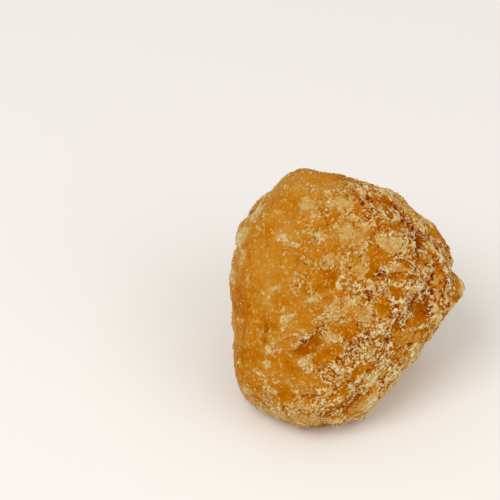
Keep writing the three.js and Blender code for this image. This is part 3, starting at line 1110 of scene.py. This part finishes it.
@dataclass(frozen=True)
class GrainFinish:
    """A loose grain's colour, which lies between two and is each grain's own."""

    name: str
    low: str
    high: str
    roughness: float

    def material(self) -> bpy.types.Material:
        """Mixes the finish.

        Returns:
            The material.
        """
        made, bench, inputs = start_finish(self.name)
        bench.feed(inputs["Base Color"], bench.dye(bench.read("shade"), tone(self.low), tone(self.high)))
        inputs["Roughness"].default_value = self.roughness
        inputs["Specular IOR Level"].default_value = 0.2
        return made


def pick(piece: bpy.types.Object) -> None:
    """Selects one piece alone and makes it the active one.

    Args:
        piece: the piece.
    """
    bpy.ops.object.select_all(action="DESELECT")
    piece.select_set(True)
    bpy.context.view_layer.objects.active = piece


def apply_modifier(piece: bpy.types.Object, kind: str, **settings: object) -> None:
    """Adds a modifier to a piece and applies it.

    Args:
        piece: the piece.
        kind: the modifier's type.
        settings: its properties by name.
    """
    pick(piece)
    bpy.ops.object.modifier_add(type=kind)
    modifier = piece.modifiers[-1]
    for name, value in settings.items():
        setattr(modifier, name, value)
    bpy.ops.object.modifier_apply(modifier=modifier.name)


def shaping_tree(name: str) -> tuple[bpy.types.NodeTree, Bench, Socket, Socket]:
    """Starts the nodes of a shaping modifier.

    Args:
        name: the tree's name.

    Returns:
        The tree, its bench, the mesh that comes in and the socket that takes the mesh out.
    """
    tree = bpy.data.node_groups.new(name, "GeometryNodeTree")
    tree.interface.new_socket(name="Mesh", in_out="INPUT", socket_type="NodeSocketGeometry")
    tree.interface.new_socket(name="Mesh", in_out="OUTPUT", socket_type="NodeSocketGeometry")
    bench = Bench(tree)
    return tree, bench, bench.node("NodeGroupInput").outputs[0], bench.node("NodeGroupOutput").inputs[0]


def ramp(value: np.ndarray, start: float, length: float) -> np.ndarray:
    """Rises evenly from 0 at the start to 1 a length further on."""
    return np.clip((value - start) / length, 0, 1)


class SkinPoints:
    """The skin's points before its relief is raised, and where each one shows in the face's view."""

    def __init__(self, mesh: bpy.types.Mesh) -> None:
        """Measures the points.

        Args:
            mesh: the skin's mesh.
        """
        back = np.array(FACE_VIEW.back)
        self.at = self.measure(mesh.vertices, "co")
        self.facing = self.measure(mesh.vertex_normals, "vector") @ back
        self.across, self.up = FACE_VIEW.seen(self.at)
        forward = self.at @ back / MM
        self.forward = forward - (forward.min() + forward.max()) / 2

    @staticmethod
    def measure(points: bpy.types.bpy_prop_collection, name: str) -> np.ndarray:
        """Reads a vector of every point.

        Args:
            points: the points.
            name: the vector's name.

        Returns:
            The vectors, one to a row.
        """
        numbers = np.empty(len(points) * 3)
        points.foreach_get(name, numbers)
        return numbers.reshape(-1, 3)


@dataclass(frozen=True)
class Edge:
    """How a place fades out."""

    middle: float  # where it is half gone, as a reach
    steepness: float

    def inside(self, reach: np.ndarray) -> np.ndarray:
        """How far points belong to the place, from 1 at its middle to 0 well outside."""
        return (1 - np.tanh((reach - self.middle) * self.steepness)) / 2


SOFT_EDGE = Edge(0.92, 2.3)
STEEP_EDGE = Edge(1, 4.5)


class Laid:
    """The ground laid so far: a number of each sort for every point of the skin."""

    most_crust: float = 1.2
    crack_depth: float = 0.5 * MM
    # how much painted shade a crack lays along its line
    crack_painted_shade: float = 0.8

    def __init__(self, count: int) -> None:
        """Starts with bare, level ground at so many points."""
        self.crust, self.busy, self.dust_and_painted_light, self.lift = np.zeros((4, count))
        self.dark, self.pits, self.smooth = np.zeros((3, count))

    def add(self, ground: Ground, reach: np.ndarray, force: np.ndarray) -> None:
        """Lays one oval place.

        Args:
            ground: the kind of ground.
            reach: how far each point lies from its middle, where 1 is its edge.
            force: how strongly it tells at each point.
        """
        make = ground.value
        soft, steep = force * SOFT_EDGE.inside(reach), force * STEEP_EDGE.inside(reach)
        self.crust += make.crust * soft
        self.busy += make.busy * soft
        self.dust_and_painted_light += make.dust_and_painted_light * soft
        self.lift += make.lift_mm * MM * (steep if make.flat else soft)
        self.smooth += make.smooth * soft
        self.dark += make.dark * steep
        if ground is Ground.PITS:
            self.pits += soft

    def split(self, reach: np.ndarray, force: np.ndarray) -> None:
        """Opens one crack: sinks it and paints shade along it.

        Args:
            reach: how far each point lies from its line, where 1 is its half width.
            force: how strongly it tells at each point.
        """
        line = force * np.exp(-(reach**2))
        self.lift -= line * self.crack_depth
        self.dark += line * self.crack_painted_shade

    def finished(self) -> dict[str, np.ndarray]:
        """Holds the numbers within bounds.

        Returns:
            The numbers by the names that the nodes read.
        """
        return {
            "ground": self.most_crust * np.tanh(self.crust / self.most_crust),
            "busy": np.clip(self.busy, 0, 1.2),
            "dust_and_painted_light": np.clip(self.dust_and_painted_light, -0.3, 1.4),
            "lift": self.lift,
            "painted_shade_laid": self.dark,
            "pits": np.clip(self.pits, 0, 1.1),
            "smooth": np.clip(self.smooth, 0, 0.9),
        }


@dataclass(frozen=True)
class FaceGround:
    """The ground of the broad face: slow changes all over it, and the named places and cracks. In mm."""

    begins: float = -6.0  # towards the eye from the block's middle
    fades_in: float = 8.0
    turned: float = 4.0  # how fast it ends where the skin turns from the eye
    crust: float = -0.38
    crust_slope: tuple[float, float] = (0.005, -0.006)  # for each mm across and up
    busy: float = 0.4
    busier_right: float = 0.26
    busy_slant: float = 0.3
    busy_middle: float = 4.0
    busy_breadth: float = 12.0
    busier_rims: float = 0.22
    hazes: tuple[tuple[float, float, float, float, float], ...] = (
        (0.25, -20, 6, 10, 17),  # strength, middle across and up, breadth across and up
        (0.3, -14, 33, 14, 9),
    )
    # pale dust on the sides and the back, and partly a painted sheen that lightens them
    hidden_dust_and_sheen: float = 0.3
    tip_up: float = 3.0  # where the two right-hand rims meet
    rim_out: tuple[float, float] = (0.72, 0.69)  # the way out across the upper rim, and mirrored the lower
    streaks: float = 0.65
    streak_stretch: tuple[float, float] = (0.45, 1.7)  # along the rims and across them
    sways: tuple[tuple[float, float, float, float], ...] = (
        (0.9, 0.5, 1.3, 0.2),  # turns of the wave along and beside, its start and its reach
        (1.1, -1.9, 0.4, 0.25),
        (3.1, 2.3, 0.0, 0.15),
    )

    def front(self, skin: SkinPoints) -> np.ndarray:
        """How far each point belongs to the face: 1 on it, 0 on the sides and the back."""
        turned_here = np.clip(1 + self.turned * skin.facing, 0, 1)
        return ramp(skin.forward, self.begins, self.fades_in) * turned_here

    def rims(self, skin: SkinPoints) -> tuple[np.ndarray, np.ndarray, np.ndarray]:
        """Measures from the two rims that meet at the face's right-hand tip.

        Args:
            skin: the skin's points.

        Returns:
            The distances along the rims and out across them, and how far crumbs are drawn out there.
        """
        off_tip = np.abs(skin.up - self.tip_up)
        right, off = self.rim_out
        out = right * skin.across + off * off_tip
        streaky = self.streaks * ramp(out, start=15, length=8) * ramp(off_tip, start=0, length=5)
        return off * skin.across - right * off_tip, out, streaky

    def lay(self, ground: Laid, skin: SkinPoints, front: np.ndarray, rims_out: np.ndarray) -> None:
        """Lays the face's ground.

        Args:
            ground: the ground laid so far.
            skin: the skin's points.
            front: how far each point belongs to the face.
            rims_out: how far out each point lies across the right-hand rims.
        """
        across, up = self.waver(skin.across, skin.up), self.waver(skin.up, skin.across)
        more_across, more_up = self.crust_slope
        ground.crust += self.crust + (more_across * across + more_up * up) * front
        to_the_right = across - self.busy_slant * up - self.busy_middle
        ground.busy += self.busy + self.busier_right * np.tanh(to_the_right / self.busy_breadth) * front
        ground.busy += self.busier_rims * ramp(rims_out, start=17, length=8) * front
        for strength, middle_across, middle_up, wide, high in self.hazes:
            near = np.exp(-(((across - middle_across) / wide) ** 2) - ((up - middle_up) / high) ** 2)
            ground.dust_and_painted_light += strength * near * front
        ground.dust_and_painted_light += self.hidden_dust_and_sheen * (1 - front)
        for kind, places in PLACES.items():
            where = (skin.across, skin.up) if kind is Ground.PIT else (across, up)
            for place in places:
                ground.add(kind, place.reach(*where), place.force * front)
        seen = np.stack((skin.across, skin.up), axis=1)
        for crack in CRACKS:
            ground.split(from_course(seen, np.array(crack.course)) / crack.half_width, crack.force * front)

    def waver(self, along: np.ndarray, beside: np.ndarray) -> np.ndarray:
        """Sways distances across the face, so that no place has an even outline.

        Args:
            along: the distances to sway.
            beside: the distances the other way.

        Returns:
            The swayed distances.
        """
        swayed = along
        for turns_along, turns_beside, start, reach in self.sways:
            swayed = swayed + np.sin(along * turns_along + beside * turns_beside + start) * reach
        return swayed


@dataclass(frozen=True)
class HiddenGround:
    """The ground of the sides and the back, laid by seeded chance in the same kinds as on the face. In mm."""

    seed: int = 11
    patches: int = 120
    cracks: int = 16
    well_hidden: float = 0.6
    swell: float = 0.5
    swell_ways: tuple[tuple[float, float, float], ...] = ((0.22, 0.17, 0.11), (-0.12, 0.2, 0.19))
    pits: float = 0.3
    lengths: tuple[float, float] = (1.6, 5.0)
    slimness: tuple[float, float] = (0.4, 0.75)  # width as a share of length
    forces: tuple[float, float] = (0.7, 1.3)
    crack_widths: tuple[float, float] = (0.25, 0.45)
    wobble: float = 0.5
    stride: float = 2.2
    least_stride: float = 0.5
    strides: tuple[int, int] = (3, 7)
    kinds: tuple[Ground, ...] = (
        Ground.BARE,
        Ground.BARE,
        Ground.CRUST,
        Ground.PLATE,
        Ground.POWDER,
        Ground.VEIL,
        Ground.PITS,
        Ground.HOLLOW,
    )

    def lay(self, ground: Laid, at: np.ndarray, hidden: np.ndarray) -> None:
        """Lays patches and cracks away from the face.

        Args:
            ground: the ground laid so far.
            at: where the points are.
            hidden: 1 where a point is away from the face, 0 on it.
        """
        chance = np.random.default_rng(self.seed)
        spots = np.flatnonzero(hidden > self.well_hidden)
        first, second = self.swell_ways
        ground.crust += self.swell * hidden * (np.sin(at @ first) * np.sin(at @ second + 1))
        ground.pits += self.pits * hidden
        for number in range(self.patches):
            kind = self.kinds[number % len(self.kinds)]
            offset = at - at[chance.choice(spots)]
            axis = chance.normal(size=3)
            axis /= np.linalg.norm(axis)
            length = chance.uniform(*self.lengths)
            width = length * chance.uniform(*self.slimness)
            ahead = offset @ axis
            aside = np.linalg.norm(offset - ahead[:, None] * axis, axis=1)
            ground.add(kind, np.hypot(ahead / length, aside / width), chance.uniform(*self.forces) * hidden)
        for _ in range(self.cracks):
            course = self.wander(at, at[chance.choice(spots)], chance)
            ground.split(from_course(at, course) / chance.uniform(*self.crack_widths), hidden)

    def wander(self, at: np.ndarray, start: np.ndarray, chance: np.random.Generator) -> np.ndarray:
        """Walks a crooked way over the skin.

        Args:
            at: where the points are.
            start: where the way starts.
            chance: draws its turns.

        Returns:
            The way's points, one to a row.
        """
        way = [start]
        heading = chance.normal(size=3)
        for _ in range(chance.integers(*self.strides)):
            heading = heading / np.linalg.norm(heading) + self.wobble * chance.normal(size=3)
            ahead = way[-1] + self.stride * heading / np.linalg.norm(heading)
            nearest = at[np.argmin(np.linalg.norm(at - ahead, axis=1))]
            if np.linalg.norm(nearest - way[-1]) > self.least_stride:
                heading = nearest - way[-1]
                way.append(nearest)
        return np.array(way)


@dataclass
class Block:
    """The block's skin over its solid."""

    voxel: float = 0.45 * MM
    smoothing: int = 6
    crust_thickness: float = 0.16 * MM
    lump_height: float = 0.16 * MM
    lump_size: float = 0.8 * MM
    wave_size: float = 3.2 * MM
    wave_height: float = 0.35 * MM
    clod_size: float = 1.5 * MM
    clod_height: float = 0.384 * MM
    crumb_height: float = 0.12 * MM
    plate_height: float = 0.6 * MM
    cobble_size: float = 4.5 * MM
    cobble_height: float = 0.8 * MM
    crevice_depth: float = 0.3 * MM
    pit_size: float = 1.2 * MM
    pit_depth: float = 0.5 * MM
    still_height: float = 1.4 * MM
    face: FaceGround = field(default_factory=FaceGround)
    hidden: HiddenGround = field(default_factory=HiddenGround)
    finish: BlockFinish = field(default_factory=BlockFinish)

    def build(self) -> bpy.types.Object:
        """Makes the skin and dresses it.

        Returns:
            The block's piece.
        """
        piece = self.rough_skin()
        self.lay_ground(piece)
        self.wrap(piece)
        self.raise_relief(piece)
        pick(piece)
        bpy.ops.object.shade_smooth()
        piece.data.materials.clear()
        piece.data.materials.append(self.finish.material())
        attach(piece, BODY)
        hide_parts(BLOCK_NODE)
        return piece

    def rough_skin(self) -> bpy.types.Object:
        """Copies the solid, merges its triangles and cuts it into an even, soft mesh.

        Returns:
            The new piece.
        """
        node = frame["nodes"][BLOCK_NODE]
        piece = bpy.data.objects.new("block_skin", node.data.copy())
        bpy.context.collection.objects.link(piece)
        pick(piece)
        bpy.ops.object.mode_set(mode="EDIT")
        bpy.ops.mesh.select_all(action="SELECT")
        bpy.ops.mesh.remove_doubles(threshold=0.001 * MM)
        bpy.ops.mesh.customdata_custom_splitnormals_clear()
        bpy.ops.object.mode_set(mode="OBJECT")
        apply_modifier(piece, "REMESH", mode="VOXEL", voxel_size=self.voxel)
        apply_modifier(piece, "SMOOTH", factor=0.5, iterations=self.smoothing)
        for name in [a.name for a in piece.data.attributes if not a.is_internal and not a.is_required]:
            piece.data.attributes.remove(piece.data.attributes[name])
        return piece

    def lay_ground(self, piece: bpy.types.Object) -> None:
        """Stores on the skin what the named places and cracks say, before noise is added.

        Args:
            piece: the block's piece.
        """
        skin = SkinPoints(piece.data)
        front = self.face.front(skin)
        along, out, streaky = self.face.rims(skin)
        ground = Laid(len(skin.at))
        self.face.lay(ground, skin, front, out)
        self.hidden.lay(ground, skin.at / MM, 1 - front)
        numbers = ground.finished()
        numbers["still"] = ramp(skin.at[:, 2], 0, self.still_height)
        numbers["streaky"] = streaky * front
        stretch_along, stretch_out = self.face.streak_stretch
        streak_at = np.stack((along * stretch_along, out * stretch_out, skin.forward), axis=1) * MM
        for name, values in numbers.items():
            layer = piece.data.attributes.new(name, "FLOAT", "POINT")
            layer.data.foreach_set("value", values.astype(np.float32))
        for name, vectors in (("rest_at", skin.at), ("streak_at", streak_at)):
            layer = piece.data.attributes.new(name, "FLOAT_VECTOR", "POINT")
            layer.data.foreach_set("vector", vectors.astype(np.float32).ravel())

    def wrap(self, piece: bpy.types.Object) -> None:
        """Lays the skin out flat while it is still smooth, in few pieces.

        Args:
            piece: the block's piece.
        """
        piece.data.uv_layers.new(name="OFBake")
        pick(piece)
        bpy.ops.object.mode_set(mode="EDIT")
        bpy.ops.mesh.select_all(action="SELECT")
        bpy.ops.uv.smart_project(angle_limit=math.radians(72), island_margin=0.003)
        bpy.ops.object.mode_set(mode="OBJECT")

    def raise_relief(self, piece: bpy.types.Object) -> None:
        """Raises crust, waves, lumps, cracks and pits out of the smooth skin.

        Args:
            piece: the block's piece.
        """
        tree, bench, mesh, out = shaping_tree("skin_relief")
        crust = Crust(bench, CRUST_RULE, detail=0.5)
        at, cover, rough = crust.at, crust.cover, crust.rough
        uneven = bench.math("SUBTRACT", crust.own, 0.5)
        plates = bench.times(uneven, bench.step(crust.seam, 0.0, 0.22), rough)
        cobble, _, _ = bench.lumps(at, self.cobble_size, seed=36.0)
        cobbles = bench.times(bench.math("SUBTRACT", 0.5, cobble), rough)
        waves = bench.noise(at, self.wave_size, detail=2.0, roughness=0.5, seed=31.0)
        clods = bench.noise(at, self.clod_size, detail=2.0, roughness=0.6, seed=32.0)
        distance, _, _ = bench.lumps(at, self.lump_size, seed=33.0)
        lumps = bench.times(bench.math("SUBTRACT", 0.55, distance), cover, rough, self.lump_height)
        deep = bench.noise(at, self.pit_size, detail=2.0, roughness=0.65, seed=35.0)
        pit_level = bench.total((deep, -2.6), (bench.read("pits"), 0.62))
        pitted = bench.step(pit_level, -0.78, -0.62)
        relief = bench.total(
            (bench.read("lift"), 1.0),
            (bench.math("SUBTRACT", waves, 0.5), self.wave_height),
            (bench.times(bench.math("SUBTRACT", clods, 0.42), cover, rough), self.clod_height),
            (cover, self.crust_thickness),
            (crust.crumbs, self.crumb_height),
            (lumps, 1.0),
            (plates, self.plate_height),
            (cobbles, self.cobble_height),
            (crust.crevices, -self.crevice_depth),
            (pitted, -self.pit_depth),
        )
        relief = bench.times(relief, bench.read("still"))
        # painted shade: what the places and cracks laid, and more in the noise pits
        dark = bench.math("ADD", bench.read("painted_shade_laid"), bench.times(pitted, 0.5))
        from_edge = bench.math("ABSOLUTE", crust.level)
        mesh = bench.store(mesh, "dark", bench.math("MINIMUM", dark, 1.0))
        mesh = bench.store(mesh, "cover", cover)
        mesh = bench.store(mesh, "edge", bench.step(from_edge, 0.1, 0.4, 1.0, 0.0))
        normal = bench.node("GeometryNodeInputNormal").outputs[0]
        bench.feed(out, bench.push(mesh, normal, relief))
        apply_modifier(piece, "NODES", node_group=tree)


class Bed(Enum):
    """Where loose grains lie: (share on bare amber, share on crust, share at the crust's edge)."""

    CRUST = (0.0, 1.0, 0.6)
    EDGE = (0.02, 0.25, 1.0)
    WAX = (1.0, 0.5, 0.7)


@dataclass
class Grains:
    """Loose grains of one kind, set into the skin: cracked little blocks of many sizes and turns."""

    name: str
    bed: Bed
    per_square_mm: float
    smallest: float
    largest: float
    sunk: float
    seed: int
    finish: GrainFinish
    clump: float = 2.6 * MM
    shapes: int = 5
    side: float = 1.2  # of a shape, before it is scaled to a grain's size
    depth: float = 0.86  # as a share of the side
    height: float = 0.7
    taller: float = 0.06  # than the shape before
    roughening: float = 0.24
    small_skew: float = 2.2

    def build(self, skin: bpy.types.Object) -> bpy.types.Object:
        """Scatters the grains over the skin as one mesh.

        Args:
            skin: the block's piece.

        Returns:
            The grains' piece.
        """
        box_of_shapes = self.model_shapes()
        piece = bpy.data.objects.new(self.name, skin.data.copy())
        bpy.context.collection.objects.link(piece)
        apply_modifier(piece, "NODES", node_group=self.scatter_tree(box_of_shapes))
        for shape in list(box_of_shapes.objects):
            bpy.data.objects.remove(shape)
        bpy.data.collections.remove(box_of_shapes)
        piece.data.materials.clear()
        piece.data.materials.append(self.finish.material())
        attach(piece, BODY)
        return piece

    def model_shapes(self) -> bpy.types.Collection:
        """Models the few grains that the rest are copies of.

        Returns:
            A collection that holds them.
        """
        box_of_shapes = bpy.data.collections.new(f"{self.name}_shapes")
        bpy.context.scene.collection.children.link(box_of_shapes)
        for number in range(self.shapes):
            bpy.ops.object.select_all(action="DESELECT")
            bpy.ops.mesh.primitive_cube_add(size=self.side)
            shape = bpy.context.object
            bpy.ops.object.mode_set(mode="EDIT")
            bpy.ops.mesh.select_all(action="SELECT")
            bpy.ops.transform.resize(value=(1.0, self.depth, self.height + self.taller * number))
            bpy.ops.transform.vertex_random(offset=self.roughening, seed=self.seed + number)
            bpy.ops.mesh.quads_convert_to_tris()
            bpy.ops.mesh.normals_make_consistent(inside=False)
            bpy.ops.object.mode_set(mode="OBJECT")
            for holder in list(shape.users_collection):
                holder.objects.unlink(shape)
            box_of_shapes.objects.link(shape)
        return box_of_shapes

    def scatter_tree(self, box_of_shapes: bpy.types.Collection) -> bpy.types.NodeTree:
        """Lays the nodes that scatter the grains and join them into one mesh.

        Args:
            box_of_shapes: the collection of modelled grains.

        Returns:
            The tree.
        """
        tree, bench, mesh, out = shaping_tree(f"{self.name}_scatter")
        points = bench.node("GeometryNodeDistributePointsOnFaces", distribute_method="RANDOM")
        bench.fill(points, {"Mesh": mesh, "Density": self.density(bench), "Seed": self.seed})
        size = self.chance(bench, self.smallest, self.largest, turn=1, skew=self.small_skew)
        rise = bench.times(size, 0.5 - self.sunk)
        raised = bench.push(points.outputs["Points"], points.outputs["Normal"], rise)
        chosen = bench.node("GeometryNodeCollectionInfo")
        bench.fill(chosen, {"Collection": box_of_shapes, "Separate Children": True, "Reset Children": True})
        turn = bench.node("FunctionNodeRandomValue", data_type="FLOAT_VECTOR")
        bench.fill(turn, {1: (math.tau,) * 3, "Seed": self.seed + 2})
        shape = {"Instance": chosen.outputs[0], "Pick Instance": True}
        size_and_turn = {"Scale": size, "Rotation": turn.outputs[0]}
        placed = bench.node("GeometryNodeInstanceOnPoints")
        bench.fill(placed, {"Points": raised, **shape, **size_and_turn})
        shade = self.chance(bench, 0.0, 1.0, turn=3)
        shaded = bench.store(placed.outputs[0], "shade", shade, domain="INSTANCE")
        bench.feed(out, bench.fill(bench.node("GeometryNodeRealizeInstances"), {0: shaded}))
        return tree

    def density(self, bench: Bench) -> Socket:
        """How thickly the grains lie: on their bed, in clumps, and nowhere on the spot it rests on.

        Args:
            bench: the tree's nodes.

        Returns:
            The grains on a square metre.
        """
        wax, crust, rim = self.bed.value
        share = bench.blend(bench.read("cover"), wax, crust)
        share = bench.math("ADD", share, bench.times(bench.read("edge"), rim))
        at = bench.read("rest_at", vector=True)
        clumps = bench.noise(at, self.clump, detail=2.0, roughness=0.6, seed=self.seed)
        off_the_spot = bench.step(bench.read("still"), 0.5, 1.0)
        share = bench.times(share, bench.step(clumps, 0.4, 0.6, 0.1, 1.0), off_the_spot)
        return bench.times(share, self.per_square_mm / MM**2)

    def chance(self, bench: Bench, low: float, high: float, turn: int, skew: float = 1.0) -> Socket:
        """A seeded random number for each grain.

        Args:
            bench: the tree's nodes.
            low: the lowest number.
            high: the highest number.
            turn: tells one draw from another.
            skew: above 1 where low numbers are likelier.

        Returns:
            The number.
        """
        drawn = bench.node("FunctionNodeRandomValue", data_type="FLOAT")
        bench.feed(drawn.inputs["Seed"], self.seed + turn)
        skewed = bench.math("POWER", drawn.outputs[1], skew)
        return bench.math("MULTIPLY_ADD", skewed, high - low, low)


@dataclass
class Studio:
    """The floor, the lights and the camera."""

    floor_tone: str = "f4f1ec"
    floor_side: float = 6.0
    air_tone: tuple[float, float, float, float] = (1.0, 0.985, 0.96, 1.0)
    air_strength: float = 0.62
    aim: tuple[float, float, float] = (0, 0, 30 * MM)  # what the lights face

    def build(self) -> None:
        """Sets the studio up."""
        self.lay_floor()
        self.hang_light("key_light", (-0.4, -0.35, 0.85), size=0.6, watts=4.0)
        self.hang_light("fill_light", (0.6, -0.45, 0.6), size=0.8, watts=2.0)
        self.fill_air()
        self.place_camera()
        bpy.context.scene.view_settings.view_transform = "Standard"

    def lay_floor(self) -> None:
        """Lays a wide pale floor."""
        bpy.ops.object.select_all(action="DESELECT")
        bpy.ops.mesh.primitive_plane_add(size=self.floor_side)
        floor = bpy.context.object
        floor.name = "floor"
        made, _, inputs = start_finish("pale_floor")
        inputs["Base Color"].default_value = tone(self.floor_tone)
        inputs["Roughness"].default_value = 0.9
        floor.data.materials.append(made)

    def fill_air(self) -> None:
        """Fills the air with a pale light from all round."""
        world = bpy.data.worlds.new("pale_air")
        bpy.context.scene.world = world
        world.use_nodes = True
        air = world.node_tree.nodes["Background"]
        air.inputs["Color"].default_value = self.air_tone
        air.inputs["Strength"].default_value = self.air_strength

    def hang_light(self, name: str, place: tuple[float, float, float], size: float, watts: float) -> None:
        """Hangs a square soft light that faces the block.

        Args:
            name: the light's name.
            place: where it hangs.
            size: the length of its side.
            watts: its power.
        """
        bpy.ops.object.light_add(type="AREA", location=place)
        light = bpy.context.object
        light.name = name
        light.data.size = size
        light.data.energy = watts
        aim = Vector(self.aim) - Vector(place)
        light.rotation_euler = aim.to_track_quat("-Z", "Y").to_euler()

    def place_camera(self) -> None:
        """Stands a long-lensed camera square to the broad face, with the block right of the middle."""
        view = FACE_VIEW
        data = bpy.data.cameras.new("camera")
        data.lens = view.lens_mm
        data.sensor_width = view.film_mm
        camera = bpy.data.objects.new("camera", data)
        bpy.context.collection.objects.link(camera)
        middle = (CAD_BOX[0] + CAD_BOX[1]) / 2 - Vector((view.aside, 0, 0))
        camera.location = middle + view.back * view.distance + view.above * view.below
        camera.rotation_euler = (-view.back).to_track_quat("-Z", "Y").to_euler()
        bpy.context.scene.camera = camera


CRUST_GRAIN = GrainFinish("crust_grain", low="b88438", high="dcc48c", roughness=0.9)
SUGAR_GRAIN = GrainFinish("sugar_grain", low="bc9040", high="dcc688", roughness=0.8)

GRAIN_KINDS = (
    Grains(
        "crust_grains",
        Bed.CRUST,
        per_square_mm=0.4,
        smallest=0.3 * MM,
        largest=0.8 * MM,
        sunk=0.85,
        seed=101,
        finish=CRUST_GRAIN,
    ),
    Grains(
        "edge_grains",
        Bed.EDGE,
        per_square_mm=0.4,
        smallest=0.25 * MM,
        largest=0.6 * MM,
        sunk=0.8,
        seed=201,
        finish=SUGAR_GRAIN,
    ),
    Grains(
        "wax_grains",
        Bed.WAX,
        per_square_mm=0.1,
        smallest=0.2 * MM,
        largest=0.45 * MM,
        sunk=0.78,
        seed=301,
        finish=SUGAR_GRAIN,
    ),
)


def main() -> None:
    """Builds the block and the studio in order."""
    logging.basicConfig(level=logging.INFO, format="%(message)s")
    block = Block().build()
    log.info("%s: %d faces", block.name, len(block.data.polygons))
    for kind in GRAIN_KINDS:
        grains = kind.build(block)
        log.info("%s: %d faces", grains.name, len(grains.data.polygons))
    Studio().build()


if __name__ == "__main__":
    main()
